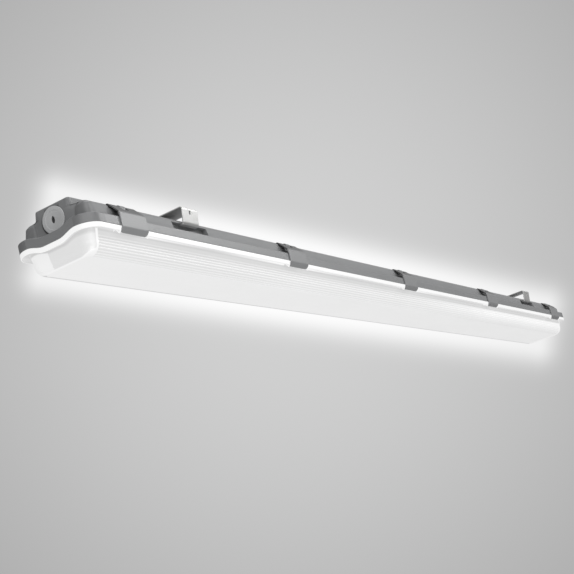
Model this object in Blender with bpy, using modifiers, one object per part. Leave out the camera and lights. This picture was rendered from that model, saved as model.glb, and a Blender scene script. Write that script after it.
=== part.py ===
"""A vapor tight LED light fixture of the 4 foot size.

A moulded grey housing with a wavy end skirt hangs in two steel straps. A ribbed
lens closes it from below against a foam gasket, and ten latches that swing on
pins hold the lens. A steel gear tray inside carries the LED boards, the driver
and the terminal block.

Metres, +Z up. X runs along the fixture, and -Y is its near side. The origin is
at the middle of the ceiling face, on the level of the straps' top plates.
Heights are measured up from the seam between the housing and the lens, and
insets are measured inwards from the face of the housing's skirt.
"""

import math

import bmesh
import bpy
from mathutils import Matrix, Vector

# Whole fixture
LENGTH = 1.265
WIDTH = 0.0887
CEILING_TO_SEAM = 0.0362
FIT_GAP = 0.0003
OVERRUN = 0.002
MERGE_DISTANCE = 0.00003
HALF_LENGTH = LENGTH / 2
HALF_WIDTH = WIDTH / 2
QUARTER_TURN = math.pi / 2
HALF_TURN = math.pi
SHARP_ANGLE = math.radians(35)

# The rounded outline that the skirt, the gasket and the lens rim share
PLAN_CORNER = 0.0168
CORNER_STEPS = 5
END_SHARES = (0, 0.3, 0.48, 0.65, 0.82, 1)
END_DIP = 0.0044
DIP_FLAT_SHARE = 0.3

# Housing: skirt and the channel that holds the gasket
SKIRT_HEIGHT = 0.0085
SKIRT_EDGE = 0.0008
SKIRT_WALL = 0.0025
CHANNEL_WIDTH = 0.0062
CHANNEL_DEPTH = 0.006
CHANNEL_LIP_HEIGHT = 0.001
CHANNEL_INNER_INSET = SKIRT_WALL + CHANNEL_WIDTH

# Housing: upper body
LEDGE_RISE = 0.0008
FOOT_INSET = 0.0065
WALL_TOP_HEIGHT = 0.0215
WALL_TOP_INSET = 0.0088
SHOULDER_HEIGHT = 0.0243
SHOULDER_EDGE_INSET = 0.0115
RIDGE_STEP = 0.0002
RIDGE_FOOT_HALF = 0.0197
RIDGE_EDGE_HALF = 0.0183
RIDGE_HEIGHT = 0.031
RIDGE_CHAMFER = 0.001
RIDGE_CORNER = 0.0025
END_WALL_INSET = 0.011
END_FLAT_HALF_LOW = 0.011
END_POST_SETBACK = 0.0195
END_POST_INSET = 0.0155
END_POST_START = math.radians(-60)
FLAT_POINTS = 4
FACET_STEPS = 2
POST_STEPS = len(END_SHARES) + CORNER_STEPS - FLAT_POINTS - FACET_STEPS

# Housing: hollow inside
WALL = 0.0024
RIDGE_WALL = 0.0019
CAVITY_INSET = 0.0108
CAVITY_BEND_HEIGHT = 0.014
CAVITY_SHOULDER_INSET = 0.016
CAVITY_SHOULDER_HEIGHT = SHOULDER_HEIGHT - WALL
CAVITY_RIDGE_HALF = RIDGE_EDGE_HALF - WALL
CAVITY_TOP_HEIGHT = RIDGE_HEIGHT - RIDGE_WALL

# Gasket and the lens tongue that presses on it
TONGUE_WIDTH = 0.002
TONGUE_HEIGHT = 0.0027
TONGUE_INSET = SKIRT_WALL + (CHANNEL_WIDTH - TONGUE_WIDTH) / 2

# Lens
LENS_DEPTH = 0.0242
LENS_WALL = 0.002
FLANGE = 0.0022
RIM_HEIGHT = 0.0052
RIM_WALL = 0.0018
RIM_EDGE = 0.0005
LENS_SIDE_INSET = 0.0078
LENS_SIDE_DRAFT = 0.002
LENS_SIDE_RADIUS = 0.011
LENS_END_INSET = 0.006
LENS_END_DRAFT = 0.003
LENS_END_RADIUS = 0.004
LENS_PLAN_CORNER = 0.011
LENS_DIP_END_HEIGHT = -0.018
LENS_INNER_RINGS = 3
RIB_COUNT = 8
RIB_DEPTH = 0.0005
RIB_TOP_HEIGHT = -0.0105
RIB_END_SETBACK = 0.0205
RIB_RUN_OUT = 0.002
RIB_LAST_TURN = math.radians(70)

# Latches
LATCH_PITCH = 0.286
LATCHES_EACH_SIDE = 5
LATCH_WIDTH = 0.0368
LATCH_SHEET = 0.0012
LATCH_GAP = 0.0004
LATCH_PLATE_TOP = 0.0125
LATCH_BEND = 0.003
LATCH_BEND_STEPS = 4
PIVOT_INSET = 0.01
PIVOT_HEIGHT = 0.0215
PIN_RADIUS = 0.0009
PIN_CLEARANCE = 0.00035
PIN_SETBACK = 0.0003
PIN_LENGTH = LATCH_WIDTH - 2 * PIN_SETBACK
PIN_SIDES = 10
EYE_RADIUS = PIN_RADIUS + PIN_CLEARANCE + LATCH_SHEET / 2
EYE_STEPS = 9
EYE_END = math.radians(298)
LUG_WIDTH = 0.008
LUG_RADIUS = 0.003
LUG_SIDE_GAP = 0.0005
LUG_FOOT = 0.0035
LUG_STEPS = 6
POCKET_GAP = 0.0005
POCKET_SIDES = 12
HOOK_BEND_HEIGHT = -0.0019
HOOK_TIP_HEIGHT = -0.0054
HOOK_TIP_INSET = 0.0029
CHEEK_WIDTH = 0.002
CHEEK_HEIGHT = 0.0066
CHEEK_OUTER_INSET = 0.0006
CHEEK_LOW_INSET = 0.0026
CATCH_ROOM = 0.001

# Straps that hang the fixture
STRAP_SPACING = 0.94
STRAP_WIDTH = 0.0272
STRAP_SHEET = 0.0012
STRAP_LEG_INSET = 0.006
STRAP_BEND = 0.0022
STRAP_BEND_STEPS = 3
STRAP_HOLE_RADIUS = 0.0026
STRAP_HOLE_LENGTH = 0.014
STRAP_SLOT_WIDTH = 0.006
STRAP_SLOT_HEIGHT = 0.0014
STRAP_SLOT_DROP = 0.0045
RECESS_LENGTH = 0.057
RECESS_LOW = 0.0126
RECESS_HIGH = 0.02
RECESS_INSET = 0.0112
RECESS_WALL = 0.0022
STRAP_LIP_GAP = 0.0006

# Cable grommets in the end walls
GROMMET_HEIGHT = 0.018
GROMMET_HOLE_RADIUS = 0.01
GROMMET_HEAD_RADIUS = 0.0115
GROMMET_HEAD = 0.0013
GROMMET_HEAD_EDGE = 0.0005
GROMMET_LIP_RADIUS = 0.0104
GROMMET_LIP = 0.002
GROMMET_DIMPLE_RADIUS = 0.0014
GROMMET_DIMPLE_DEPTH = 0.0022
ROUND_SIDES = 24

# Gear tray
TRAY_HALF_LENGTH = 0.6
TRAY_SHEET = 0.0008
TRAY_HEIGHT = 0.003
TRAY_FLAT_HALF = 0.0245
TRAY_EDGE_HALF = 0.029
TRAY_EDGE_HEIGHT = 0.009
TRAY_HATCH_LENGTH = 0.018
TRAY_HATCH_WIDTH = 0.01
TRAY_TOP = TRAY_HEIGHT + TRAY_SHEET

# Tray bosses and screws
BOSS_RADIUS = 0.0035
BOSS_SPACING = 0.8
BOSS_OFFSET = 0.0205
BOSS_SIDES = 12
BOSS_HOLE_DEPTH = 0.009
SCREW_RADIUS = 0.0015
SCREW_HEAD_RADIUS = 0.0031
SCREW_HEAD = 0.0018
SCREW_CHAMFER = 0.0006
SCREW_REACH = 0.0075
SCREW_SIDES = 10

# LED boards
BOARD_LENGTH = 0.574
BOARD_WIDTH = 0.02
BOARD_THICKNESS = 0.0012
BOARD_GAP = 0.03
LED_COUNT = 16
LED_LENGTH = 0.005
LED_WIDTH = 0.003
LED_HEIGHT = 0.0009
LED_SINK = 0.0002
CONNECTOR_LENGTH = 0.009
CONNECTOR_WIDTH = 0.008
CONNECTOR_HEIGHT = 0.004

# Driver and terminal block
DRIVER_LENGTH = 0.2
DRIVER_WIDTH = 0.029
DRIVER_HEIGHT = 0.019
DRIVER_CENTRE = 0.17
DRIVER_TAB = 0.012
DRIVER_TAB_HEIGHT = 0.0015
DRIVER_EDGE = 0.0015
DRIVER_SCREW_SETBACK = 0.005
BLOCK_CENTRE = -0.53
BLOCK_POLE_PITCH = 0.009
BLOCK_POLES = 3
BLOCK_LENGTH = 0.022
BLOCK_HEIGHT = 0.014
BLOCK_TOWER_LENGTH = 0.012
BLOCK_BASE_HEIGHT = 0.006
BLOCK_POLE_GAP = 0.0015

# Wires inside
WIRE_RADIUS = 0.0011
WIRE_RESOLUTION = 1
WIRE_RAMP = 0.014
WIRE_RAMP_SHARES = (0, 0.2, 0.4, 0.6, 0.8, 1)
LEAD_DROP = 0.007
LEAD_OFFSET = 0.003


def finish(name, colour, roughness, metallic):
    """One material, with the colour and gloss of its piece."""
    material = bpy.data.materials.new(name)
    material.use_nodes = True
    shader = material.node_tree.nodes["Principled BSDF"]
    shader.inputs["Base Color"].default_value = (*colour, 1)
    shader.inputs["Roughness"].default_value = roughness
    shader.inputs["Metallic"].default_value = metallic
    material.diffuse_color = (*colour, 1)
    return material


def new_collection(name):
    collection = bpy.data.collections.new(name)
    bpy.context.scene.collection.children.link(collection)
    return collection


def add_object(name, data, collection, material=None):
    """Links new mesh or curve data as an object."""
    obj = bpy.data.objects.new(name, data)
    collection.objects.link(obj)
    if material:
        data.materials.append(material)
    return obj


def helper_group(name, helpers):
    """A collection of cutters or of additions for one piece."""
    group = bpy.data.collections.new(name)
    helpers.children.link(group)
    return group


def add_helper(name, data, group):
    """Links a cutter or an addition, which is no piece by itself."""
    obj = add_object(name, data, group)
    obj.hide_render = True
    obj.display_type = "WIRE"


def mesh_from(build, name):
    """Runs a function that fills a bmesh, and returns the mesh."""
    shape = bmesh.new()
    build(shape)
    mesh = bpy.data.meshes.new(name)
    shape.to_mesh(mesh)
    shape.free()
    return mesh


def box_mesh(name, size, centre):
    """A box of this size about this centre."""
    place = Matrix.Translation(centre) @ Matrix.Diagonal((*size, 1))
    return mesh_from(lambda shape: bmesh.ops.create_cube(shape, size=1, matrix=place), name)


def box_between(name, low, high):
    """A box between two corners."""
    size = Vector(high) - Vector(low)
    return box_mesh(name, size, (Vector(low) + Vector(high)) / 2)


def rod_mesh(name, radius, length, sides, turn, centre):
    """A cylinder of this length about this centre, its axis turned from Z by this matrix."""
    place = Matrix.Translation(centre) @ turn

    def build(shape):
        bmesh.ops.create_cone(
            shape,
            cap_ends=True,
            segments=sides,
            radius1=radius,
            radius2=radius,
            depth=length,
            matrix=place,
        )

    return mesh_from(build, name)


ALONG_X = Matrix.Rotation(QUARTER_TURN, 4, "Y")
ALONG_Z = Matrix.Identity(4)


def smooth_rounds(mesh):
    """Shades round faces smooth and keeps the edges sharp."""
    mesh.shade_smooth()
    mesh.set_sharp_from_angle(angle=SHARP_ANGLE)


def realised(obj):
    """The mesh of an object with its modifiers applied. The object is removed."""
    graph = bpy.context.evaluated_depsgraph_get()
    mesh = bpy.data.meshes.new_from_object(obj.evaluated_get(graph))
    mesh.name = obj.name
    bpy.data.objects.remove(obj)
    return mesh


def boolean(obj, operation, collection):
    """Joins or cuts an object with every helper of a collection."""
    modifier = obj.modifiers.new(collection.name, "BOOLEAN")
    modifier.operation = operation
    modifier.solver = "EXACT"
    modifier.operand_type = "COLLECTION"
    modifier.collection = collection


def ring_from_quadrant(points):
    """A whole outline, anticlockwise from above, from the quarter at +X and +Y.

    The quarter runs from the middle of the end to the side. Only its first
    point lies on the mirror line, so that one isn't repeated.
    """
    back = points[::-1]
    first = [(x, y, z) for x, y, z in points]
    second = [(-x, y, z) for x, y, z in back]
    third = [(-x, -y, z) for x, y, z in points[1:]]
    fourth = [(x, -y, z) for x, y, z in back[:-1]]
    return first + second + third + fourth


def dips():
    """How far each point of a quarter outline hangs in the wave of the ends."""
    found = []
    for share in END_SHARES:
        rise = min(max((1 - share) / (1 - DIP_FLAT_SHARE), 0), 1)
        found.append(END_DIP * (1 - math.cos(math.pi * rise)) / 2)
    return found + [0] * CORNER_STEPS


def waved(outline, height, dip_share):
    """Puts a quarter outline at a height, with its share of the wave at the ends."""
    hang = dips()
    hang += [0] * (len(outline) - len(hang))
    z = height - CEILING_TO_SEAM
    return [(x, y, z - dip_share * drop) for (x, y), drop in zip(outline, hang)]


def rounded_outline(end_inset, side_inset, corner):
    """A quarter of a rounded rectangle, inset from the skirt's face."""
    x_max = HALF_LENGTH - end_inset
    y_max = HALF_WIDTH - side_inset
    points = [(x_max, share * (y_max - corner)) for share in END_SHARES]
    for step in range(1, CORNER_STEPS + 1):
        turn = QUARTER_TURN * step / CORNER_STEPS
        x = x_max - corner + corner * math.cos(turn)
        y = y_max - corner + corner * math.sin(turn)
        points.append((x, y))
    return points


def skirt_ring(inset, height):
    """A ring of the skirt or the channel, which follows the whole wave."""
    outline = rounded_outline(inset, inset, PLAN_CORNER - inset)
    return ring_from_quadrant(waved(outline, height, 1))


def end_flat(height):
    """Half the width of the flat end wall at a height. It widens up to the ridge."""
    foot = SKIRT_HEIGHT + LEDGE_RISE
    share = (height - foot) / (RIDGE_HEIGHT - foot)
    share = min(max(share, 0), 1)
    return END_FLAT_HALF_LOW + share * (RIDGE_EDGE_HALF - RIDGE_CORNER - END_FLAT_HALF_LOW)


def flat_points(x, flat_half):
    """The points along the flat end wall."""
    last = FLAT_POINTS - 1
    return [(x, flat_half * step / last) for step in range(FLAT_POINTS)]


def spread(start, end, count):
    """Points from start to end, without the start."""
    a = Vector(start)
    b = Vector(end)
    return [tuple(a.lerp(b, step / count)) for step in range(1, count + 1)]


def body_ring(side_inset, height, dip_share):
    """A ring of the upper body: flat end wall, slanted facet and round corner post."""
    x_end = HALF_LENGTH - END_WALL_INSET
    points = flat_points(x_end, end_flat(height))
    centre_x = HALF_LENGTH - END_POST_SETBACK
    centre_y = HALF_WIDTH - END_POST_INSET
    radius = END_POST_INSET - side_inset
    arc = []
    for step in range(POST_STEPS + 1):
        turn = END_POST_START + (QUARTER_TURN - END_POST_START) * step / POST_STEPS
        arc.append((centre_x + radius * math.cos(turn), centre_y + radius * math.sin(turn)))
    points += spread(points[-1], arc[0], FACET_STEPS) + arc[1:]
    return ring_from_quadrant(waved(points, height, dip_share))


def hollow_ring(side_inset, height, dip_share):
    """A ring of the hollow, with plain slanted corners behind the posts."""
    x_end = HALF_LENGTH - END_WALL_INSET - WALL
    flat_half = end_flat(height) - WALL / 2
    y_side = HALF_WIDTH - side_inset
    points = flat_points(x_end, flat_half)
    corner = (x_end - (y_side - flat_half), y_side)
    points += spread(points[-1], corner, FACET_STEPS + POST_STEPS)
    return ring_from_quadrant(waved(points, height, dip_share))


def ridge_ring(half_width, end_inset, height):
    """A ring of the ridge, inside or outside."""
    x_end = HALF_LENGTH - end_inset
    flat_half = min(end_flat(height), half_width - RIDGE_CORNER)
    points = flat_points(x_end, flat_half)
    corner = (x_end - RIDGE_CORNER, half_width)
    points += spread(points[-1], corner, FACET_STEPS)
    side_end = (HALF_LENGTH - END_POST_SETBACK, half_width)
    points += spread(corner, side_end, POST_STEPS)
    return ring_from_quadrant(waved(points, height, 0))


def loft(name, rings, closed_tube=False):
    """Skins matching rings in order. The ends are capped unless the tube closes on itself."""

    def build(shape):
        rows = [[shape.verts.new(point) for point in ring] for ring in rings]
        pairs = list(zip(rows, rows[1:]))
        if closed_tube:
            pairs.append((rows[-1], rows[0]))
        for low, high in pairs:
            count = len(low)
            for i in range(count):
                j = (i + 1) % count
                shape.faces.new((low[i], low[j], high[j], high[i]))
        if not closed_tube:
            shape.faces.new(rows[0][::-1])
            shape.faces.new(rows[-1])
        bmesh.ops.triangulate(shape, faces=shape.faces)

    return mesh_from(build, name)


def housing_rings():
    """The shell from the top of its hollow, round the skirt, to the top of its ridge."""
    foot = SKIRT_HEIGHT + LEDGE_RISE
    end_inner = END_WALL_INSET + WALL
    return [
        ridge_ring(CAVITY_RIDGE_HALF, end_inner, CAVITY_TOP_HEIGHT),
        ridge_ring(CAVITY_RIDGE_HALF + RIDGE_STEP, end_inner, CAVITY_SHOULDER_HEIGHT + RIDGE_STEP),
        hollow_ring(CAVITY_SHOULDER_INSET, CAVITY_SHOULDER_HEIGHT, 0),
        hollow_ring(CAVITY_INSET, CAVITY_BEND_HEIGHT, 0),
        hollow_ring(CAVITY_INSET, CHANNEL_LIP_HEIGHT, 1),
        skirt_ring(CHANNEL_INNER_INSET, CHANNEL_LIP_HEIGHT),
        skirt_ring(CHANNEL_INNER_INSET, CHANNEL_DEPTH),
        skirt_ring(SKIRT_WALL, CHANNEL_DEPTH),
        skirt_ring(SKIRT_WALL, 0),
        skirt_ring(0, 0),
        skirt_ring(0, SKIRT_HEIGHT - SKIRT_EDGE),
        skirt_ring(SKIRT_EDGE, SKIRT_HEIGHT),
        body_ring(FOOT_INSET, foot, 1),
        body_ring(WALL_TOP_INSET, WALL_TOP_HEIGHT, 0),
        body_ring(SHOULDER_EDGE_INSET, SHOULDER_HEIGHT, 0),
        ridge_ring(RIDGE_FOOT_HALF, END_WALL_INSET, SHOULDER_HEIGHT + RIDGE_STEP),
        ridge_ring(RIDGE_EDGE_HALF, END_WALL_INSET, RIDGE_HEIGHT - RIDGE_CHAMFER),
        ridge_ring(RIDGE_EDGE_HALF - RIDGE_CHAMFER, END_WALL_INSET + RIDGE_CHAMFER, RIDGE_HEIGHT),
    ]


def latch_places():
    """The middle of each latch: its x, and -1 for the near side or 1 for the far side."""
    first = -LATCH_PITCH * (LATCHES_EACH_SIDE - 1) / 2
    along = [first + LATCH_PITCH * index for index in range(LATCHES_EACH_SIDE)]
    return [(x, side) for side in (-1, 1) for x in along]


def pivot_of(x, side):
    """The middle of a latch's pin."""
    return Vector((x, side * (HALF_WIDTH - PIVOT_INSET), PIVOT_HEIGHT - CEILING_TO_SEAM))


def strap_places():
    return (-STRAP_SPACING / 2, STRAP_SPACING / 2)


def boss_places():
    """The x and y of each boss that takes a tray screw."""
    return [(x * BOSS_SPACING / 2, y * BOSS_OFFSET) for x in (-1, 1) for y in (-1, 1)]


def seam_height(height):
    """The world height of something measured from the seam."""
    return height - CEILING_TO_SEAM


def prism(name, outline, half_width, place):
    """A flat outline in the YZ plane, extruded along X about the middle, as a closed mesh."""

    def build(shape):
        start = [shape.verts.new((-half_width, y, z)) for y, z in outline]
        face = shape.faces.new(start)
        made = bmesh.ops.extrude_face_region(shape, geom=[face], use_keep_orig=True)
        moved = [item for item in made["geom"] if isinstance(item, bmesh.types.BMVert)]
        bmesh.ops.translate(shape, verts=moved, vec=(2 * half_width, 0, 0))
        bmesh.ops.recalc_face_normals(shape, faces=shape.faces)
        bmesh.ops.triangulate(shape, faces=shape.faces)

    mesh = mesh_from(build, name)
    mesh.transform(place)
    return mesh


def lug_outline():
    """The housing's hinge lug: a round head on a foot that sinks into the shoulder."""
    foot = -LUG_FOOT
    points = [(LUG_RADIUS, foot)]
    for step in range(LUG_STEPS + 1):
        turn = HALF_TURN * step / LUG_STEPS
        points.append((LUG_RADIUS * math.cos(turn), LUG_RADIUS * math.sin(turn)))
    points.append((-LUG_RADIUS, foot))
    return points


def span(x_low, x_high, side, insets, heights):
    """The low and high corners of a box between two x, two insets and two heights."""
    y_values = [side * (HALF_WIDTH - inset) for inset in insets]
    low = (x_low, min(y_values), seam_height(min(heights)))
    high = (x_high, max(y_values), seam_height(max(heights)))
    return low, high


def add_lugs(joined, cut):
    """The hinge lugs, their bores, and the pocket that each latch's rolled eye turns in."""
    pocket_radius = EYE_RADIUS + LATCH_SHEET / 2 + POCKET_GAP
    pocket_insets = (-OVERRUN, PIVOT_INSET + pocket_radius)
    pocket_heights = (PIVOT_HEIGHT, SHOULDER_HEIGHT + OVERRUN)
    inner = LUG_WIDTH / 2
    outer = LATCH_WIDTH / 2 + LUG_SIDE_GAP
    bore_radius = PIN_RADIUS + PIN_CLEARANCE
    for index, (x, side) in enumerate(latch_places()):
        pivot = pivot_of(x, side)
        lug = prism("lug", lug_outline(), inner, Matrix.Translation(pivot))
        add_helper(f"lug_{index}", lug, joined)
        for way in (-1, 1):
            middle = pivot + Vector((way * (inner + outer) / 2, 0, 0))
            length = outer - inner
            pocket = rod_mesh("pocket", pocket_radius, length, POCKET_SIDES, ALONG_X, middle)
            add_helper(f"pocket_{index}_{way}", pocket, cut)
            x_ends = sorted((x + way * inner, x + way * outer))
            notch = box_between("notch", *span(*x_ends, side, pocket_insets, pocket_heights))
            add_helper(f"notch_{index}_{way}", notch, cut)
        bore = rod_mesh("bore", bore_radius, LUG_WIDTH + OVERRUN, PIN_SIDES, ALONG_X, pivot)
        add_helper(f"lug_bore_{index}", bore, cut)


def add_recesses(joined, cut):
    """The recesses that the straps' lips slide in, each with a wall behind it."""
    wall_insets = ((WALL_TOP_INSET + CAVITY_INSET) / 2, RECESS_INSET + RECESS_WALL)
    wall_heights = (RECESS_LOW - RECESS_WALL, CAVITY_SHOULDER_HEIGHT + RIDGE_STEP)
    recess_insets = (-OVERRUN, RECESS_INSET)
    recess_heights = (RECESS_LOW, RECESS_HIGH)
    half = RECESS_LENGTH / 2
    wall_half = half + RECESS_WALL
    for index, x in enumerate(strap_places()):
        for side in (-1, 1):
            corners = span(x - wall_half, x + wall_half, side, wall_insets, wall_heights)
            add_helper(f"recess_wall_{index}_{side}", box_between("recess_wall", *corners), joined)
            corners = span(x - half, x + half, side, recess_insets, recess_heights)
            add_helper(f"recess_{index}_{side}", box_between("recess", *corners), cut)


def add_bosses(joined, cut):
    """The bosses that reach down to the tray, with a hole for each screw."""
    top = seam_height(CAVITY_SHOULDER_HEIGHT + WALL / 2)
    foot = seam_height(TRAY_TOP + FIT_GAP)
    hole_low = foot - OVERRUN
    hole_high = foot + BOSS_HOLE_DEPTH
    for index, (x, y) in enumerate(boss_places()):
        middle = (x, y, (top + foot) / 2)
        boss = rod_mesh("boss", BOSS_RADIUS, top - foot, BOSS_SIDES, ALONG_Z, middle)
        add_helper(f"boss_{index}", boss, joined)
        middle = (x, y, (hole_low + hole_high) / 2)
        radius = SCREW_RADIUS + FIT_GAP
        hole = rod_mesh("boss_hole", radius, hole_high - hole_low, SCREW_SIDES, ALONG_Z, middle)
        add_helper(f"boss_hole_{index}", hole, cut)


def add_housing(parts, helpers, material):
    """The moulded shell with its hinge lugs, strap recesses, tray bosses and cable holes."""
    joined = helper_group("housing_joined", helpers)
    cut = helper_group("housing_cuts", helpers)
    shell = add_object("housing", loft("housing", housing_rings()), parts, material)
    add_lugs(joined, cut)
    add_recesses(joined, cut)
    add_bosses(joined, cut)
    for way in (-1, 1):
        x = way * (HALF_LENGTH - END_WALL_INSET - WALL / 2)
        middle = (x, 0, seam_height(GROMMET_HEIGHT))
        length = WALL + 2 * OVERRUN
        hole = rod_mesh("cable_hole", GROMMET_HOLE_RADIUS, length, ROUND_SIDES, ALONG_X, middle)
        add_helper(f"cable_hole_{way}", hole, cut)
    boolean(shell, "UNION", joined)
    boolean(shell, "DIFFERENCE", cut)
    smooth_rounds(shell.data)


def add_gasket(parts, material):
    """The foam ring in the channel, from the lens tongue to the channel's roof."""
    low = TONGUE_HEIGHT + FIT_GAP
    high = CHANNEL_DEPTH - FIT_GAP
    outer = SKIRT_WALL + FIT_GAP
    inner = CHANNEL_INNER_INSET - FIT_GAP
    rings = [
        skirt_ring(inner, low),
        skirt_ring(outer, low),
        skirt_ring(outer, high),
        skirt_ring(inner, high),
    ]
    add_object("gasket", loft("gasket", rings, closed_tube=True), parts, material)


def wall_inset(height, inset, draft, radius, wall):
    """The inset of a drafted wall that turns into the floor, at a height below the seam."""
    depth = LENS_DEPTH - wall
    bend = -depth + radius
    share = (-height - FLANGE) / (-bend - FLANGE)
    straight = inset + wall + draft * min(max(share, 0), 1)
    below = min(max(bend - height, 0), radius)
    return straight + radius - math.sqrt(radius * radius - below * below)


def lens_outline(end_inset, side_inset, corner, groove):
    """A quarter outline of the lens. Its side carries a groove that runs out near the end."""
    points = rounded_outline(end_inset, side_inset, corner)
    y_side = HALF_WIDTH - side_inset
    x_start = HALF_LENGTH - RIB_END_SETBACK
    points.append((x_start, y_side))
    points.append((x_start - RIB_RUN_OUT, y_side - groove))
    return points


def lens_ring(inset, height):
    """A ring of the rim or the tongue, which follows the whole wave."""
    outline = lens_outline(inset, inset, PLAN_CORNER - inset, 0)
    return ring_from_quadrant(waved(outline, height, 1))


def bowl_ring(height, wall, groove=0):
    """A ring of the lens bowl, outside or one wall in, with the wave fading downwards."""
    side_radius = LENS_SIDE_RADIUS - wall
    end_radius = LENS_END_RADIUS - wall
    side = wall_inset(height, LENS_SIDE_INSET, LENS_SIDE_DRAFT, side_radius, wall)
    end = wall_inset(height, LENS_END_INSET, LENS_END_DRAFT, end_radius, wall)
    fade = (height - LENS_DIP_END_HEIGHT) / (-FLANGE - LENS_DIP_END_HEIGHT)
    dip_share = min(max(fade, 0), 1)
    corner = LENS_END_INSET + LENS_PLAN_CORNER - end
    outline = lens_outline(end, side, corner, groove)
    return ring_from_quadrant(waved(outline, height, dip_share))


def rib_heights():
    """The heights of the ribs' tips and grooves, down the wall and round into the floor."""
    bend = -LENS_DEPTH + LENS_SIDE_RADIUS
    straight = RIB_TOP_HEIGHT - bend
    curved = LENS_SIDE_RADIUS * RIB_LAST_TURN
    heights = []
    for step in range(2 * RIB_COUNT + 1):
        run = (straight + curved) * step / (2 * RIB_COUNT)
        if run < straight:
            heights.append(RIB_TOP_HEIGHT - run)
        else:
            turn = (run - straight) / LENS_SIDE_RADIUS
            heights.append(bend - LENS_SIDE_RADIUS * math.sin(turn))
    return heights


def lens_rings():
    """The lens from its floor up the outside, over the rim and tongue, and down the inside."""
    rings = [bowl_ring(-LENS_DEPTH, 0)]
    for index, height in enumerate(reversed(rib_heights())):
        rings.append(bowl_ring(height, 0, RIB_DEPTH * (index % 2)))
    rings.append(bowl_ring(-FLANGE, 0))
    rings.append(lens_ring(RIM_WALL, -FLANGE))
    rings.append(lens_ring(RIM_WALL, -RIM_HEIGHT))
    rings.append(lens_ring(RIM_EDGE, -RIM_HEIGHT))
    rings.append(lens_ring(0, RIM_EDGE - RIM_HEIGHT))
    rings.append(lens_ring(0, -FIT_GAP))
    rings.append(lens_ring(TONGUE_INSET, -FIT_GAP))
    rings.append(lens_ring(TONGUE_INSET, TONGUE_HEIGHT))
    rings.append(lens_ring(TONGUE_INSET + TONGUE_WIDTH, TONGUE_HEIGHT))
    rings.append(bowl_ring(-FLANGE, LENS_WALL))
    low = LENS_WALL - LENS_DEPTH
    inner_radius = LENS_SIDE_RADIUS - LENS_WALL
    for step in range(LENS_INNER_RINGS + 1):
        turn = QUARTER_TURN * step / LENS_INNER_RINGS
        rings.append(bowl_ring(low + inner_radius * (1 - math.sin(turn)), LENS_WALL))
    return rings


def hook_ends():
    """Where the hook of a closed latch starts and ends, as insets and heights of its sheet's middle."""
    start = Vector((-LATCH_GAP - LATCH_SHEET / 2, HOOK_BEND_HEIGHT))
    end = Vector((HOOK_TIP_INSET, HOOK_TIP_HEIGHT))
    return start, end


def catch_outline():
    """The room for a hook, cut out of the rim: its upper face runs along the slanted hook."""
    start, end = hook_ends()
    along = (end - start).normalized()
    seat = start + Vector((-along.y, along.x)) * (LATCH_SHEET / 2 + FIT_GAP)
    slope = along.y / along.x
    outer = -OVERRUN
    inner = RIM_WALL + CATCH_ROOM
    low = -RIM_HEIGHT - OVERRUN
    top_outer = (outer, seat.y + slope * (outer - seat.x))
    top_inner = (inner, seat.y + slope * (inner - seat.x))
    return [top_outer, top_inner, (inner, low), (outer, low)]


def cheek_outline():
    """The web under the rim at each side of a hook."""
    top = -FLANGE / 2
    root = LENS_SIDE_INSET + LENS_WALL / 2
    return [
        (CHEEK_OUTER_INSET, top),
        (CHEEK_OUTER_INSET, RIM_EDGE - RIM_HEIGHT),
        (CHEEK_LOW_INSET, -CHEEK_HEIGHT),
        (root, -CHEEK_HEIGHT),
        (root, top),
    ]


def across(side, outline):
    """An outline of insets and heights, put on the near or the far side."""
    return [(side * (HALF_WIDTH - inset), seam_height(height)) for inset, height in outline]


def add_lens(parts, helpers, material):
    """The ribbed lens with its rim, its tongue, and a catch with two cheeks for each latch."""
    joined = helper_group("lens_joined", helpers)
    cut = helper_group("lens_cuts", helpers)
    room = LATCH_WIDTH / 2 + LUG_SIDE_GAP
    lens = add_object("lens", loft("lens", lens_rings()), parts, material)
    for index, (x, side) in enumerate(latch_places()):
        place = Matrix.Translation((x, 0, 0))
        catch = prism("catch", across(side, catch_outline()), room, place)
        add_helper(f"catch_{index}", catch, cut)
        for way in (-1, 1):
            place = Matrix.Translation((x + way * (room + CHEEK_WIDTH / 2), 0, 0))
            cheek = prism("cheek", across(side, cheek_outline()), CHEEK_WIDTH / 2, place)
            add_helper(f"cheek_{index}_{way}", cheek, joined)
    boolean(lens, "UNION", joined)
    boolean(lens, "DIFFERENCE", cut)
    smooth_rounds(lens.data)


def rounded_path(corners, radius, steps):
    """A bent path through corner points, each inner corner turned at this radius."""
    path = [Vector(corners[0])]
    for before, corner, after in zip(corners, corners[1:], corners[2:]):
        here = Vector(corner)
        back = (Vector(before) - here).normalized()
        ahead = (Vector(after) - here).normalized()
        half_angle = back.angle(ahead) / 2
        run = radius / math.tan(half_angle)
        centre = here + (back + ahead).normalized() * (radius / math.sin(half_angle))
        start = here + back * run - centre
        end = here + ahead * run - centre
        sweep = start.angle_signed(end)
        for step in range(steps + 1):
            path.append(centre + Matrix.Rotation(-sweep * step / steps, 2) @ start)
    path.append(Vector(corners[-1]))
    return path


def sheet_object(name, path, half_width, thickness, collection, material=None):
    """A bent sheet: a path in the YZ plane carried along X, with a wall about it."""

    def build(shape):
        rows = []
        for x in (-half_width, half_width):
            rows.append([shape.verts.new((x, y, z)) for y, z in path])
        low, high = rows
        for i in range(len(path) - 1):
            shape.faces.new((low[i], high[i], high[i + 1], low[i + 1]))

    sheet = add_object(name, mesh_from(build, name), collection, material)
    wall = sheet.modifiers.new("wall", "SOLIDIFY")
    wall.thickness = thickness
    wall.offset = 0
    wall.use_even_offset = True
    return sheet


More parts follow.
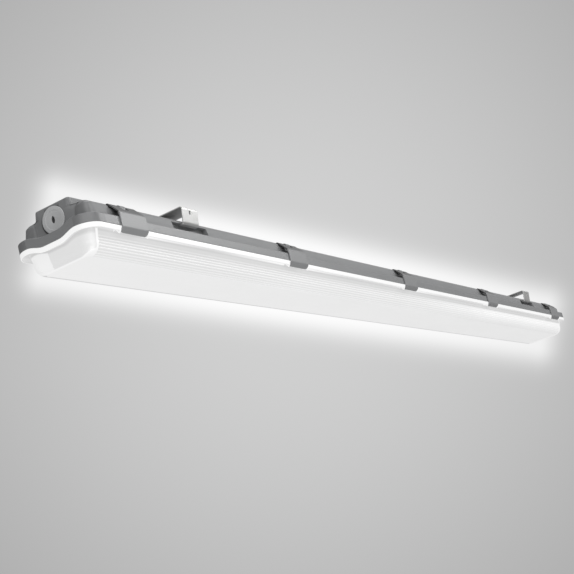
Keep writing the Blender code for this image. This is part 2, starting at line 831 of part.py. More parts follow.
def latch_path():
    """The bent sheet of a near side latch, about its pin: eye, arm, plate and hook."""
    hook_start, hook_end = hook_ends()
    out = PIVOT_INSET - hook_start.x
    plate_top = (out, LATCH_PLATE_TOP - PIVOT_HEIGHT)
    plate_foot = (out, hook_start.y - PIVOT_HEIGHT)
    hook_tip = (PIVOT_INSET - hook_end.x, hook_end.y - PIVOT_HEIGHT)
    reach = math.hypot(*plate_top)
    leave = math.atan2(plate_top[1], plate_top[0]) + math.acos(EYE_RADIUS / reach)
    eye = []
    for step in range(EYE_STEPS + 1):
        turn = EYE_END + (leave - EYE_END) * step / EYE_STEPS
        eye.append((EYE_RADIUS * math.cos(turn), EYE_RADIUS * math.sin(turn)))
    bent = rounded_path([eye[-1], plate_top, plate_foot, hook_tip], LATCH_BEND, LATCH_BEND_STEPS)
    return [(-y, z) for y, z in eye[:-1] + [tuple(point) for point in bent]]


def latch_mesh(helpers):
    """One latch with its rolled eye cut open in the middle for the housing's lug."""
    cuts = helper_group("latch_cuts", helpers)
    latch = sheet_object("latch", latch_path(), LATCH_WIDTH / 2, LATCH_SHEET, helpers)
    slot_half = LUG_WIDTH / 2 + LUG_SIDE_GAP
    reach = LUG_RADIUS + LATCH_SHEET + OVERRUN
    slot = box_between("slot", (-slot_half, -reach, -reach), (slot_half, reach, reach))
    add_helper("latch_slot", slot, cuts)
    boolean(latch, "DIFFERENCE", cuts)
    mesh = realised(latch)
    smooth_rounds(mesh)
    return mesh


def add_latches(parts, helpers, latch_finish, pin_finish):
    """Ten latches, each with its origin on its pin, and their pins."""
    mesh = latch_mesh(helpers)
    mesh.materials.append(latch_finish)
    pin = rod_mesh("latch_pin", PIN_RADIUS, PIN_LENGTH, PIN_SIDES, ALONG_X, (0, 0, 0))
    pin.materials.append(pin_finish)
    smooth_rounds(pin)
    for index, (x, side) in enumerate(latch_places()):
        name = f"{'near' if side < 0 else 'far'}_{index % LATCHES_EACH_SIDE + 1}"
        latch = add_object(f"latch_{name}", mesh, parts)
        latch.location = pivot_of(x, side)
        latch.rotation_euler.z = 0 if side < 0 else HALF_TURN
        rod = add_object(f"latch_pin_{name}", pin, parts)
        rod.location = pivot_of(x, side)


def strap_path():
    """The bent sheet of a strap: lip, leg, top plate, leg and lip."""
    y_leg = HALF_WIDTH - STRAP_LEG_INSET - STRAP_SHEET / 2
    y_lip = HALF_WIDTH - RECESS_INSET + STRAP_LIP_GAP
    z_lip = seam_height(RECESS_HIGH) - FIT_GAP - STRAP_SHEET / 2
    z_top = -STRAP_SHEET / 2
    corners = [
        (-y_lip, z_lip),
        (-y_leg, z_lip),
        (-y_leg, z_top),
        (y_leg, z_top),
        (y_leg, z_lip),
        (y_lip, z_lip),
    ]
    return [tuple(point) for point in rounded_path(corners, STRAP_BEND, STRAP_BEND_STEPS)]


def strap_mesh(helpers):
    """One strap with its screw slot in the top plate and a slot in each leg."""
    cuts = helper_group("strap_cuts", helpers)
    strap = sheet_object("strap", strap_path(), STRAP_WIDTH / 2, STRAP_SHEET, helpers)
    half = STRAP_HOLE_LENGTH / 2 - STRAP_HOLE_RADIUS
    deep = STRAP_SHEET + OVERRUN
    low = (-half, -STRAP_HOLE_RADIUS, -deep)
    add_helper("strap_hole", box_between("hole", low, (half, STRAP_HOLE_RADIUS, deep)), cuts)
    for way in (-1, 1):
        middle = (way * half, 0, 0)
        end = rod_mesh("hole_end", STRAP_HOLE_RADIUS, 2 * deep, BOSS_SIDES, ALONG_Z, middle)
        add_helper(f"strap_hole_end_{way}", end, cuts)
        middle = (0, way * (HALF_WIDTH - STRAP_LEG_INSET), -STRAP_SLOT_DROP)
        size = (STRAP_SLOT_WIDTH, 2 * deep, STRAP_SLOT_HEIGHT)
        add_helper(f"strap_slot_{way}", box_mesh("slot", size, middle), cuts)
    boolean(strap, "DIFFERENCE", cuts)
    mesh = realised(strap)
    smooth_rounds(mesh)
    return mesh


def add_straps(parts, helpers, material):
    """Two mounting straps that slide along the housing's recesses."""
    mesh = strap_mesh(helpers)
    mesh.materials.append(material)
    for name, x in zip(("left", "right"), strap_places()):
        strap = add_object(f"mounting_strap_{name}", mesh, parts)
        strap.location.x = x


def turned_mesh(name, profile, sides, material):
    """A turned piece: (radius, height) points from the top middle, down the outside."""

    def build(shape):
        points = [shape.verts.new((radius, 0, height)) for radius, height in profile]
        edges = [shape.edges.new(pair) for pair in zip(points, points[1:])]
        bmesh.ops.spin(
            shape, geom=points + edges, axis=(0, 0, 1), cent=(0, 0, 0), angle=2 * HALF_TURN, steps=sides
        )
        bmesh.ops.remove_doubles(shape, verts=shape.verts, dist=MERGE_DISTANCE)
        bmesh.ops.recalc_face_normals(shape, faces=shape.faces)

    mesh = mesh_from(build, name)
    mesh.materials.append(material)
    smooth_rounds(mesh)
    return mesh


def grommet_profile():
    """A push-in cable grommet. Height 0 is the outer face of the end wall."""
    neck = GROMMET_HOLE_RADIUS - FIT_GAP
    back = -WALL - FIT_GAP
    return [
        (0, GROMMET_HEAD - GROMMET_DIMPLE_DEPTH),
        (GROMMET_DIMPLE_RADIUS, GROMMET_HEAD - GROMMET_DIMPLE_DEPTH),
        (GROMMET_DIMPLE_RADIUS, GROMMET_HEAD),
        (GROMMET_HEAD_RADIUS - GROMMET_HEAD_EDGE, GROMMET_HEAD),
        (GROMMET_HEAD_RADIUS, GROMMET_HEAD - GROMMET_HEAD_EDGE),
        (GROMMET_HEAD_RADIUS, FIT_GAP),
        (neck, FIT_GAP),
        (neck, back),
        (GROMMET_LIP_RADIUS, back),
        (neck, back - GROMMET_LIP),
        (0, back - GROMMET_LIP),
    ]


def add_grommets(parts, material):
    """A grommet in the cable hole of each end wall."""
    mesh = turned_mesh("cable_grommet", grommet_profile(), ROUND_SIDES, material)
    for name, way in (("left", -1), ("right", 1)):
        grommet = add_object(f"cable_grommet_{name}", mesh, parts)
        x = way * (HALF_LENGTH - END_WALL_INSET)
        grommet.location = (x, 0, seam_height(GROMMET_HEIGHT))
        grommet.rotation_euler.y = way * QUARTER_TURN


def add_tray(parts, helpers, material):
    """The gear tray: a bent steel sheet with holes for its screws and a hatch for the leads."""
    cuts = helper_group("tray_cuts", helpers)
    z = seam_height(TRAY_HEIGHT) + TRAY_SHEET / 2
    z_edge = seam_height(TRAY_EDGE_HEIGHT)
    path = [(-TRAY_EDGE_HALF, z_edge), (-TRAY_FLAT_HALF, z), (TRAY_FLAT_HALF, z)]
    path.append((TRAY_EDGE_HALF, z_edge))
    tray = sheet_object("gear_tray", path, TRAY_HALF_LENGTH, TRAY_SHEET, parts, material)
    for index, (x, y) in enumerate(boss_places()):
        radius = SCREW_RADIUS + FIT_GAP
        deep = TRAY_SHEET + OVERRUN
        hole = rod_mesh("tray_hole", radius, deep, SCREW_SIDES, ALONG_Z, (x, y, z))
        add_helper(f"tray_hole_{index}", hole, cuts)
    size = (TRAY_HATCH_LENGTH, TRAY_HATCH_WIDTH, TRAY_SHEET + OVERRUN)
    add_helper("tray_hatch", box_mesh("hatch", size, (0, 0, z)), cuts)
    boolean(tray, "DIFFERENCE", cuts)


def screw_profile(reach):
    """A pan head screw with its head down. Height 0 is the face under its head."""
    return [
        (0, reach),
        (SCREW_RADIUS, reach),
        (SCREW_RADIUS, 0),
        (SCREW_HEAD_RADIUS, 0),
        (SCREW_HEAD_RADIUS, SCREW_CHAMFER - SCREW_HEAD),
        (SCREW_HEAD_RADIUS - SCREW_CHAMFER, -SCREW_HEAD),
        (0, -SCREW_HEAD),
    ]


def add_tray_screws(parts, material):
    """The screws that hold the tray to the housing's bosses."""
    mesh = turned_mesh("tray_screw", screw_profile(SCREW_REACH), SCREW_SIDES, material)
    for index, (x, y) in enumerate(boss_places()):
        screw = add_object(f"tray_screw_{index + 1}", mesh, parts)
        screw.location = (x, y, seam_height(TRAY_HEIGHT - FIT_GAP))


def add_boards(parts, helpers, material):
    """The two LED boards under the tray, each with its LEDs and its connector."""
    top = TRAY_HEIGHT - FIT_GAP
    low = top - BOARD_THICKNESS
    for name, way in (("left", -1), ("right", 1)):
        joined = helper_group(f"board_joined_{name}", helpers)
        centre_x = way * (BOARD_GAP + BOARD_LENGTH) / 2
        size = (BOARD_LENGTH, BOARD_WIDTH, BOARD_THICKNESS)
        middle = (centre_x, 0, seam_height((top + low) / 2))
        board = add_object(f"led_board_{name}", box_mesh("board", size, middle), parts, material)
        pitch = (BOARD_LENGTH - 2 * CONNECTOR_LENGTH) / LED_COUNT
        led_size = (LED_LENGTH, LED_WIDTH, LED_HEIGHT + LED_SINK)
        led_z = seam_height(low - LED_HEIGHT / 2 + LED_SINK / 2)
        for index in range(LED_COUNT):
            x = centre_x + way * CONNECTOR_LENGTH + pitch * (index - (LED_COUNT - 1) / 2)
            led = box_mesh("led", led_size, (x, 0, led_z))
            add_helper(f"led_{name}_{index}", led, joined)
        inner_x = way * (BOARD_GAP / 2 + CONNECTOR_LENGTH / 2 + FIT_GAP)
        size = (CONNECTOR_LENGTH, CONNECTOR_WIDTH, CONNECTOR_HEIGHT + LED_SINK)
        middle = (inner_x, 0, seam_height(low - CONNECTOR_HEIGHT / 2 + LED_SINK / 2))
        add_helper(f"connector_{name}", box_mesh("connector", size, middle), joined)
        boolean(board, "UNION", joined)


def driver_outline():
    """The cross section of the driver's case, with its upper edges broken."""
    half = DRIVER_WIDTH / 2
    return [
        (half, 0),
        (half, DRIVER_HEIGHT - DRIVER_EDGE),
        (half - DRIVER_EDGE, DRIVER_HEIGHT),
        (DRIVER_EDGE - half, DRIVER_HEIGHT),
        (-half, DRIVER_HEIGHT - DRIVER_EDGE),
        (-half, 0),
    ]


def add_driver(parts, helpers, case_finish, screw_finish):
    """The LED driver on the tray, with a screw tab at each end, and its two screws."""
    joined = helper_group("driver_joined", helpers)
    cuts = helper_group("driver_cuts", helpers)
    z = seam_height(TRAY_TOP + FIT_GAP)
    place = Matrix.Translation((DRIVER_CENTRE, 0, z))
    case = prism("led_driver", driver_outline(), DRIVER_LENGTH / 2, place)
    driver = add_object("led_driver", case, parts, case_finish)
    tab_half = DRIVER_LENGTH / 2 + DRIVER_TAB
    low = (DRIVER_CENTRE - tab_half, -DRIVER_TAB / 2, z)
    high = (DRIVER_CENTRE + tab_half, DRIVER_TAB / 2, z + DRIVER_TAB_HEIGHT)
    add_helper("driver_tabs", box_between("tabs", low, high), joined)
    mesh = turned_mesh("driver_screw", screw_profile(DRIVER_TAB_HEIGHT), SCREW_SIDES, screw_finish)
    for index, way in enumerate((-1, 1)):
        x = DRIVER_CENTRE + way * (tab_half - DRIVER_SCREW_SETBACK)
        radius = SCREW_RADIUS + FIT_GAP
        deep = DRIVER_TAB_HEIGHT + 2 * OVERRUN
        hole = rod_mesh("driver_hole", radius, deep, SCREW_SIDES, ALONG_Z, (x, 0, z))
        add_helper(f"driver_hole_{index}", hole, cuts)
        screw = add_object(f"driver_screw_{index + 1}", mesh, parts)
        screw.rotation_euler.x = HALF_TURN
        screw.location = (x, 0, z + DRIVER_TAB_HEIGHT + FIT_GAP)
    boolean(driver, "UNION", joined)
    boolean(driver, "DIFFERENCE", cuts)


def add_terminal_block(parts, helpers, material):
    """The mains terminal block: a base and a tower for each pole."""
    joined = helper_group("block_joined", helpers)
    z = seam_height(TRAY_TOP + FIT_GAP)
    width = BLOCK_POLES * BLOCK_POLE_PITCH
    low = (BLOCK_CENTRE - BLOCK_LENGTH / 2, -width / 2, z)
    high = (BLOCK_CENTRE + BLOCK_LENGTH / 2, width / 2, z + BLOCK_BASE_HEIGHT)
    block = add_object("terminal_block", box_between("block", low, high), parts, material)
    for index in range(BLOCK_POLES):
        y = BLOCK_POLE_PITCH * (index - (BLOCK_POLES - 1) / 2)
        half = (BLOCK_POLE_PITCH - BLOCK_POLE_GAP) / 2
        low = (BLOCK_CENTRE - BLOCK_TOWER_LENGTH / 2, y - half, z + BLOCK_BASE_HEIGHT / 2)
        high = (BLOCK_CENTRE + BLOCK_TOWER_LENGTH / 2, y + half, z + BLOCK_HEIGHT)
        add_helper(f"block_tower_{index}", box_between("tower", low, high), joined)
    boolean(block, "UNION", joined)


def ramp(start, end):
    """Points of a smooth step from one place to another."""
    points = []
    for share in WIRE_RAMP_SHARES:
        rise = (1 - math.cos(math.pi * share)) / 2
        x = start[0] + (end[0] - start[0]) * share
        y = start[1] + (end[1] - start[1]) * rise
        z = start[2] + (end[2] - start[2]) * rise
        points.append((x, y, z))
    return points


def wire(name, points, collection, material):
    """A wire along a route."""
    curve = bpy.data.curves.new(name, "CURVE")
    curve.dimensions = "3D"
    curve.bevel_depth = WIRE_RADIUS
    curve.bevel_resolution = WIRE_RESOLUTION
    curve.use_fill_caps = True
    spline = curve.splines.new("POLY")
    spline.points.add(len(points) - 1)
    for point, place in zip(spline.points, points):
        point.co = (*place, 1)
    return add_object(name, curve, collection, material)


def add_wires(parts, live_finish, neutral_finish, plus_finish, minus_finish):
    """Two mains wires from the block to the driver, and a lead to each LED board."""
    z_rest = seam_height(TRAY_TOP + FIT_GAP) + WIRE_RADIUS
    z_block = seam_height(TRAY_TOP + FIT_GAP) + BLOCK_BASE_HEIGHT / 2
    z_driver = seam_height(TRAY_TOP + FIT_GAP) + DRIVER_HEIGHT / 2
    x_block = BLOCK_CENTRE + BLOCK_LENGTH / 2 + FIT_GAP
    x_driver = DRIVER_CENTRE - DRIVER_LENGTH / 2 - FIT_GAP
    mains = (("wire_live", -1, live_finish), ("wire_neutral", 1, neutral_finish))
    for name, way, colour in mains:
        y = way * BLOCK_POLE_PITCH
        down = ramp((x_block, y, z_block), (x_block + WIRE_RAMP, y, z_rest))
        up = ramp((x_driver - WIRE_RAMP, y, z_rest), (x_driver, y, z_driver))
        wire(name, down + up, parts, colour)
    z_pad = seam_height(TRAY_HEIGHT - FIT_GAP - BOARD_THICKNESS - CONNECTOR_HEIGHT / 2)
    leads = (("lead_left", -1, plus_finish), ("lead_right", 1, minus_finish))
    for name, way, colour in leads:
        y = way * LEAD_OFFSET
        x_pad = way * BOARD_GAP / 2
        start = (x_driver, y, z_driver)
        over = (way * LEAD_DROP / 2 + WIRE_RAMP / 2, y, z_rest + WIRE_RADIUS)
        low = (x_pad, y, z_pad)
        hatch = (way * LEAD_DROP / 2, y, seam_height(TRAY_HEIGHT))
        route = [start] + ramp((x_driver - WIRE_RAMP / 2, y, z_driver), over)
        route += [hatch, (hatch[0] + way * WIRE_RADIUS, y, z_pad + WIRE_RADIUS), low]
        wire(name, route, parts, colour)


def main():
    for old in list(bpy.data.objects):
        bpy.data.objects.remove(old)
    parts = new_collection("vapor_tight_light")
    helpers = new_collection("helpers")
    grey_plastic = finish("grey_plastic", (0.42, 0.43, 0.44), 0.5, 0)
    latch_plastic = finish("latch_plastic", (0.45, 0.46, 0.47), 0.42, 0)
    foam = finish("foam", (0.05, 0.05, 0.05), 0.9, 0)
    frosted = finish("frosted_lens", (0.92, 0.93, 0.93), 0.3, 0)
    stainless = finish("stainless_steel", (0.72, 0.72, 0.71), 0.28, 1)
    grommet_rubber = finish("grommet_rubber", (0.5, 0.5, 0.51), 0.65, 0)
    white_steel = finish("white_steel", (0.85, 0.85, 0.84), 0.35, 0)
    board_white = finish("board_white", (0.9, 0.9, 0.88), 0.4, 0)
    driver_case = finish("driver_case", (0.75, 0.76, 0.77), 0.4, 0)
    block_nylon = finish("block_nylon", (0.8, 0.79, 0.75), 0.5, 0)
    zinc = finish("zinc_screw", (0.6, 0.6, 0.62), 0.35, 1)
    brown = finish("wire_brown", (0.16, 0.07, 0.03), 0.5, 0)
    blue = finish("wire_blue", (0.04, 0.12, 0.4), 0.5, 0)
    red = finish("wire_red", (0.45, 0.03, 0.03), 0.5, 0)
    black = finish("wire_black", (0.03, 0.03, 0.03), 0.5, 0)
    add_housing(parts, helpers, grey_plastic)
    add_gasket(parts, foam)
    add_lens(parts, helpers, frosted)
    add_latches(parts, helpers, latch_plastic, stainless)
    add_straps(parts, helpers, stainless)
    add_grommets(parts, grommet_rubber)
    add_tray(parts, helpers, white_steel)
    add_tray_screws(parts, zinc)
    add_boards(parts, helpers, board_white)
    add_driver(parts, helpers, driver_case, zinc)
    add_terminal_block(parts, helpers, block_nylon)
    add_wires(parts, brown, blue, red, black)


main()
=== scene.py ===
"""The looks of a vapor tight light fixture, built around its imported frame.

Metres, +Z up, X along the fixture and -Y its near side. Heights are measured up from
the seam between the housing and the lens, and insets inwards from the face of the
housing's skirt. A new piece is a surface worked out with numpy: outlines carried
through levels, or a profile carried along a path.
"""

import math

import bmesh
import bpy
import numpy as np
from bpy.props import FloatProperty, FloatVectorProperty, IntProperty, PointerProperty
from bpy.types import Operator, Panel, PropertyGroup
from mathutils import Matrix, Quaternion, Vector


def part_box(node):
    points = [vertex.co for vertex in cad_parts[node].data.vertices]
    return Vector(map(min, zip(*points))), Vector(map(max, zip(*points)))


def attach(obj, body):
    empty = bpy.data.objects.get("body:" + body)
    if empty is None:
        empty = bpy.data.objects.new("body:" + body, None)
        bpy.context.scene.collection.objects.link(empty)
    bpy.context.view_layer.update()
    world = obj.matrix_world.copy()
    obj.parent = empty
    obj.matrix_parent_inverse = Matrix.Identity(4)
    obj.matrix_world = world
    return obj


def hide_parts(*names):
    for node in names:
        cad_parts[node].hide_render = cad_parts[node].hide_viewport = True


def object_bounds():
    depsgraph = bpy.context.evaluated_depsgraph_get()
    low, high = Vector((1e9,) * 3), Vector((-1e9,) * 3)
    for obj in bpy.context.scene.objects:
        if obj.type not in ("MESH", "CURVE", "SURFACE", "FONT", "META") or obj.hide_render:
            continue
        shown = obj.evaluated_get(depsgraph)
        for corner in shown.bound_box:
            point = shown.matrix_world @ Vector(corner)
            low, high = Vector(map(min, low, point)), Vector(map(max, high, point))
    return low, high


bl_info = {
    "name": "Vapor tight light",
    "version": (1, 0, 0),
    "blender": (4, 5, 0),
    "location": "View3D > Sidebar > Vapor tight light",
    "description": "Pieces, finishes and stage of a vapor tight light fixture",
    "category": "Add Mesh",
}

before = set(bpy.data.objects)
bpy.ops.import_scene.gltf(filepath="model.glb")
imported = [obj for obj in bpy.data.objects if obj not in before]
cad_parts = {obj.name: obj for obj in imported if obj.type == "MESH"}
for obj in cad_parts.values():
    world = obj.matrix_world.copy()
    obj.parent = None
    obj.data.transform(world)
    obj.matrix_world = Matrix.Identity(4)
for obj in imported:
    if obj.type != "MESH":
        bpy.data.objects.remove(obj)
CAD_LOW, CAD_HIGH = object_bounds()
HOUSING_LOW, HOUSING_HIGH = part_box("housing")

QUARTER_TURN = math.pi / 2
HALF_TURN = math.pi
MERGE_DISTANCE = 0.000002
TINY = 1e-9
SHARP_ANGLE = math.radians(38)

# A quarter outline runs from 0 at the middle of the end to 10 at the long side
QUARTER_SPAN = 10
END_SPAN = 5
FLAT_SPAN = 3
STEPS_EACH = 4
ALONG_QUARTER = np.linspace(0, QUARTER_SPAN, QUARTER_SPAN * STEPS_EACH + 1)
END_SHARES = (0, 0.3, 0.48, 0.65, 0.82, 1)
DIP_FLAT_SHARE = 0.3
ROUND_STEPS = 4
PLAIN, POCKET, LUG, BACKED, RECESS, NOTCH, CHEEK = range(7)


def length(name, description, default):
    """A size in metres for the panel."""
    return FloatProperty(name=name, description=description, default=default, unit="LENGTH", precision=5)


def colour(name, description, default):
    """A colour for the panel."""
    return FloatVectorProperty(
        name=name, description=description, default=default, subtype="COLOR", size=3, min=0, max=1
    )


def number(name, description, default):
    """A plain number for the panel."""
    return FloatProperty(name=name, description=description, default=default)


class HousingSizes(PropertyGroup):
    """Sizes of the moulded housing."""

    half_length: length("Half length", "From the middle to the end of the skirt", HOUSING_HIGH.x)
    half_width: length("Half width", "From the middle to the side of the skirt", HOUSING_HIGH.y)
    seam_drop: length("Seam drop", "From the ceiling down to the seam", 0.0362)
    plan_corner: length("Plan corner", "Radius of the skirt's corners seen from above", 0.0168)
    end_dip: length("End dip", "How far the skirt hangs in the middle of an end", 0.0044)
    skirt_height: length("Skirt height", "Height of the skirt", 0.0085)
    skirt_edge: length("Skirt edge", "Rounding of the skirt's upper edge", 0.0009)
    skirt_wall: length("Skirt wall", "Wall outside the gasket's channel", 0.0025)
    channel_width: length("Channel width", "Width of the gasket's channel", 0.0062)
    channel_depth: length("Channel depth", "Height of the channel's roof", 0.006)
    lip_height: length("Lip height", "Height of the channel's inner edge", 0.001)
    ledge_rise: length("Ledge rise", "Slope of the ledge over the skirt", 0.0008)
    foot_inset: length("Foot inset", "Inset of the side wall's foot", 0.0065)
    wall_top_height: length("Wall top", "Height where the side wall leans in", 0.0215)
    wall_top_inset: length("Wall top inset", "Inset there", 0.0088)
    shoulder_height: length("Shoulder height", "Height of the shoulder", 0.0243)
    shoulder_inset: length("Shoulder inset", "Inset of the shoulder's edge", 0.0115)
    ridge_foot_half: length("Ridge foot", "Half width of the ridge at its foot", 0.0209)
    ridge_edge_half: length("Ridge edge", "Half width of the ridge at its top", 0.0192)
    ridge_height: length("Ridge height", "Height of the ridge", 0.0322)
    ridge_edge: length("Ridge rounding", "Rounding of the ridge's edge", 0.0013)
    ridge_corner: length("Ridge corner", "Slanted corner of the ridge seen from above", 0.0014)
    end_wall_inset: length("End wall inset", "Inset of the flat end wall", 0.011)
    end_flat_half: length("End flat", "Half width of the end wall at its foot", 0.011)
    post_setback: length("Post setback", "From the end to a corner post's axis", 0.0186)
    post_inset: length("Post inset", "From the side to a corner post's axis", 0.0155)
    post_power: number("Post roundness", "1 for a round post, less for a squarer one", 0.64)
    wall: length("Wall", "Thickness of the moulding", 0.0024)
    roof_wall: length("Roof wall", "Thickness of the ridge", 0.0019)
    hollow_inset: length("Hollow inset", "Inset of the hollow's side", 0.0108)
    hollow_bend_height: length("Hollow bend", "Height where the hollow leans in", 0.014)
    hollow_shoulder_inset: length("Hollow shoulder", "Inset of the hollow at the shoulder", 0.016)
    side_setback: length("Side setback", "From the end to the straight side", 0.0395)
    recess_half: length("Recess half length", "Half length of a strap's recess", 0.0285)
    recess_low: length("Recess floor", "Height of the recess's floor", 0.0126)
    recess_high: length("Recess roof", "Height of the recess's roof", 0.02)
    recess_inset: length("Recess inset", "Inset of the recess's back", 0.0135)
    recess_wall: length("Recess wall", "Wall behind the recess", 0.0022)
    # Painted shade: the value below darkens the back wall of each strap's recess, where shade falls.
    recess_painted_shade: number("Recess tone", "How light the recess is, with its dust and shade", 0.95)
    # Painted shade: the value below darkens the corners round the ends, and the next one says where that painted
    # shade stops.
    corner_painted_shade: number("Corner tone", "How light the corners are beside the sides", 0.82)
    corner_shade_end: length("Corner end", "From the end to where the skirt's corner tone stops", 0.0226)


class LensSizes(PropertyGroup):
    """Sizes of the ribbed lens."""

    depth: length("Depth", "From the seam down to the floor", 0.0242)
    wall: length("Wall", "Thickness of the lens", 0.002)
    flange: length("Flange", "Thickness of the flange under the seam", 0.0022)
    rim_height: length("Rim height", "Height of the rim's face", 0.0047)
    rim_wall: length("Rim wall", "Thickness of the rim", 0.0018)
    side_inset: length("Side inset", "Inset of the side wall", 0.0078)
    side_draft: length("Side draft", "How far the side leans in", 0.002)
    side_radius: length("Side radius", "Rounding between side and floor", 0.011)
    end_inset: length("End inset", "Inset of the end wall", 0.006)
    end_draft: length("End draft", "How far the end leans in", 0.003)
    end_radius: length("End radius", "Rounding between end and floor", 0.004)
    corner: length("Corner", "Radius of the bowl's corners seen from above", 0.0125)
    wave_end: length("Wave end", "Depth below the seam where the wave has faded", 0.018)
    rib_depth: length("Rib depth", "Depth of the grooves between ribs", 0.0005)
    rib_top: length("Rib top", "Depth below the seam of the first rib", 0.0086)
    rib_setback: length("Rib setback", "From the end of the fixture to the ribs", 0.0192)
    rib_run_out: length("Rib run-out", "Length over which the grooves deepen", 0.0018)
    tongue_width: length("Tongue width", "Width of the tongue in the channel", 0.002)
    tongue_height: length("Tongue height", "Height of the tongue", 0.0027)
    cheek_width: length("Cheek width", "Width of the web beside a hook", 0.002)
    cheek_height: length("Cheek height", "Depth of the web below the seam", 0.0066)
    cheek_low_inset: length("Cheek foot", "Inset of the web's lowest corner", 0.0026)
    cheek_out: length("Cheek face", "Inset of the web's outer face", 0.0006)
    cheek_rise: length("Cheek rise", "Depth of that face's lower end", 0.0043)
    cheek_back: length("Cheek back", "Inset where the web meets the flange", 0.0055)
    catch_room: length("Catch room", "Room behind the rim for a hook", 0.001)
    patch_start: length("Patch start", "Where the end wall's brighter part starts", 0.0105)
    ribs_fade: length("Ribs fade", "Where the ribs' glow starts to even out", -0.05)
    ribs_far_glow: number("Far glow", "Even glow of the top rib at the far end", 1.04)
    rib_count: IntProperty(name="Ribs", description="Ribs on each side", default=8, min=1, max=40)


class LatchSizes(PropertyGroup):
    """Sizes of the latches and the places where they hang."""

    pitch: length("Pitch", "From latch to latch", 0.286)
    width: length("Width", "Width of a latch", 0.0368)
    sheet: length("Sheet", "Thickness of a latch", 0.0012)
    gap: length("Gap", "From the skirt's face to the latch", 0.0004)
    plate_top: length("Plate top", "Height of the upper bend", 0.0125)
    bend: length("Bend", "Reach of the bends' rounding", 0.00125)
    hook_bend: length("Hook bend", "Depth of the lower bend below the seam", 0.0019)
    hook_tip: length("Hook tip", "Depth of the hook's tip below the seam", 0.0054)
    hook_inset: length("Hook inset", "Inset of the hook's tip", 0.0029)
    # Painted shade: the three values below darken the rolled eye, the arm and the plate as light falls on them;
    # the hook keeps full light.
    eye_painted_shade: number("Eye tone", "How light the rolled eye is, with its shade", 0.25)
    arm_painted_shade: number("Arm tone", "How light the arm is, with its shade", 0.33)
    plate_painted_shade: number("Plate tone", "How light the plate is beside the hook", 0.86)
    tip_corner: length("Tip corner", "Rounding of the hook's corners", 0.0032)
    edge: length("Edge", "Rounding of the latch's edges", 0.00012)
    pivot_inset: length("Pivot inset", "Inset of the pin", 0.01)
    pivot_height: length("Pivot height", "Height of the pin", 0.0215)
    pin_radius: length("Pin radius", "Radius of the pin", 0.0009)
    eye_radius: length("Eye radius", "Radius of the rolled eye's middle", 0.00185)
    lug_half: length("Lug half width", "Half width of the housing's lug", 0.004)
    lug_radius: length("Lug radius", "Radius of the lug's head", 0.003)
    lug_foot: length("Lug foot", "Height of the lug below its pin", 0.0035)
    slot_reach: length("Slot reach", "From the pin out to the end of the lug's slot", 0.0062)
    slot_corner: length("Slot corner", "Rounding of the slot's end", 0.0025)
    side_gap: length("Side gap", "Clearance beside lugs and latches", 0.0005)
    fit_gap: length("Fit gap", "Clearance between touching pieces", 0.0003)
    count: IntProperty(name="Latches", description="Latches on each side", default=5, min=1, max=12)


class StrapSizes(PropertyGroup):
    """Sizes of the mounting straps."""

    spacing: length("Spacing", "From strap to strap", 0.94)
    width: length("Width", "Width of a strap", 0.0258)
    sheet: length("Sheet", "Thickness of a strap", 0.0012)
    leg_inset: length("Leg inset", "Inset of a leg's outer face at its foot", 0.0056)
    leg_lean: length("Leg lean", "How far a leg leans out at the top", 0.0024)
    bend: length("Bend", "Reach of the bends' rounding", 0.0025)
    lip_inset: length("Lip inset", "Inset of a lip's end in its recess", 0.0106)
    hole_radius: length("Hole radius", "Radius of the slot's ends", 0.0026)
    hole_length: length("Hole length", "Length of the slot in the top", 0.014)
    patch: length("Patch", "Half length of the area about the slot", 0.0085)
    leg_slot_half: length("Leg slot", "Half width of the slot in a leg", 0.0013)
    leg_slot_height: length("Leg slot height", "Height of that slot", 0.0034)
    leg_slot_drop: length("Leg slot drop", "From the top down to that slot", 0.0052)
    edge: length("Edge", "Rounding of the strap's edges", 0.0002)


class GrommetSizes(PropertyGroup):
    """Sizes of the cable grommets."""

    height: length("Height", "Height of the grommet's middle", 0.0179)
    head_radius: length("Head radius", "Radius of the head", 0.0121)
    head: length("Head", "How far the head stands out", 0.0013)
    head_edge: length("Head edge", "Rounding of the head's edge", 0.0004)
    hole_radius: length("Hole radius", "Radius of the hole in the end wall", 0.01)
    lip_radius: length("Lip radius", "Radius of the lip inside", 0.0104)
    lip: length("Lip", "Length of the lip inside", 0.002)
    dimple_radius: length("Dimple radius", "Half height of the dimple's mouth", 0.0033)
    dimple_depth: length("Dimple depth", "Depth of the dimple", 0.003)
    # Painted shade: the value below darkens the dimple, where shade falls.
    dimple_painted_shade: number("Dimple tone", "How light the dimple is, with its shade", 0.12)
    dimple_narrow: number("Dimple width", "Width of the dimple for each part of its height", 0.5)
    step_radius: length("Step radius", "Radius of the fine step round the membrane", 0.0084)
    step: length("Step", "Depth of that step", 0.00018)


class Colours(PropertyGroup):
    """Colours of the pieces, as linear light."""

    housing: colour("Housing", "Moulded grey plastic", (0.235, 0.238, 0.242))
    latch: colour("Latches", "Latch plastic", (0.29, 0.293, 0.297))
    lens: colour("Lens", "Frosted lens, unlit", (0.2, 0.2, 0.2))
    lens_light: colour("Lens light", "Light of the lens", (1.0, 1.0, 1.0))
    grommet: colour("Grommet", "Light grey rubber", (0.53, 0.535, 0.54))
    steel: colour("Steel", "Stainless steel", (0.79, 0.79, 0.78))
    zinc: colour("Zinc", "Zinc plated screws", (0.56, 0.57, 0.6))
    foam: colour("Foam", "Gasket foam", (0.035, 0.035, 0.037))
    tray: colour("Tray", "Powder coat of the gear tray", (0.78, 0.78, 0.77))
    board: colour("Board", "White solder mask", (0.8, 0.8, 0.77))
    phosphor: colour("Phosphor", "Yellow face of the LEDs", (0.78, 0.6, 0.12))
    driver: colour("Driver", "Driver case", (0.6, 0.61, 0.62))
    block: colour("Block", "Terminal block nylon", (0.68, 0.66, 0.58))
    floor: colour("Floor", "Pale floor", (0.66, 0.66, 0.66))


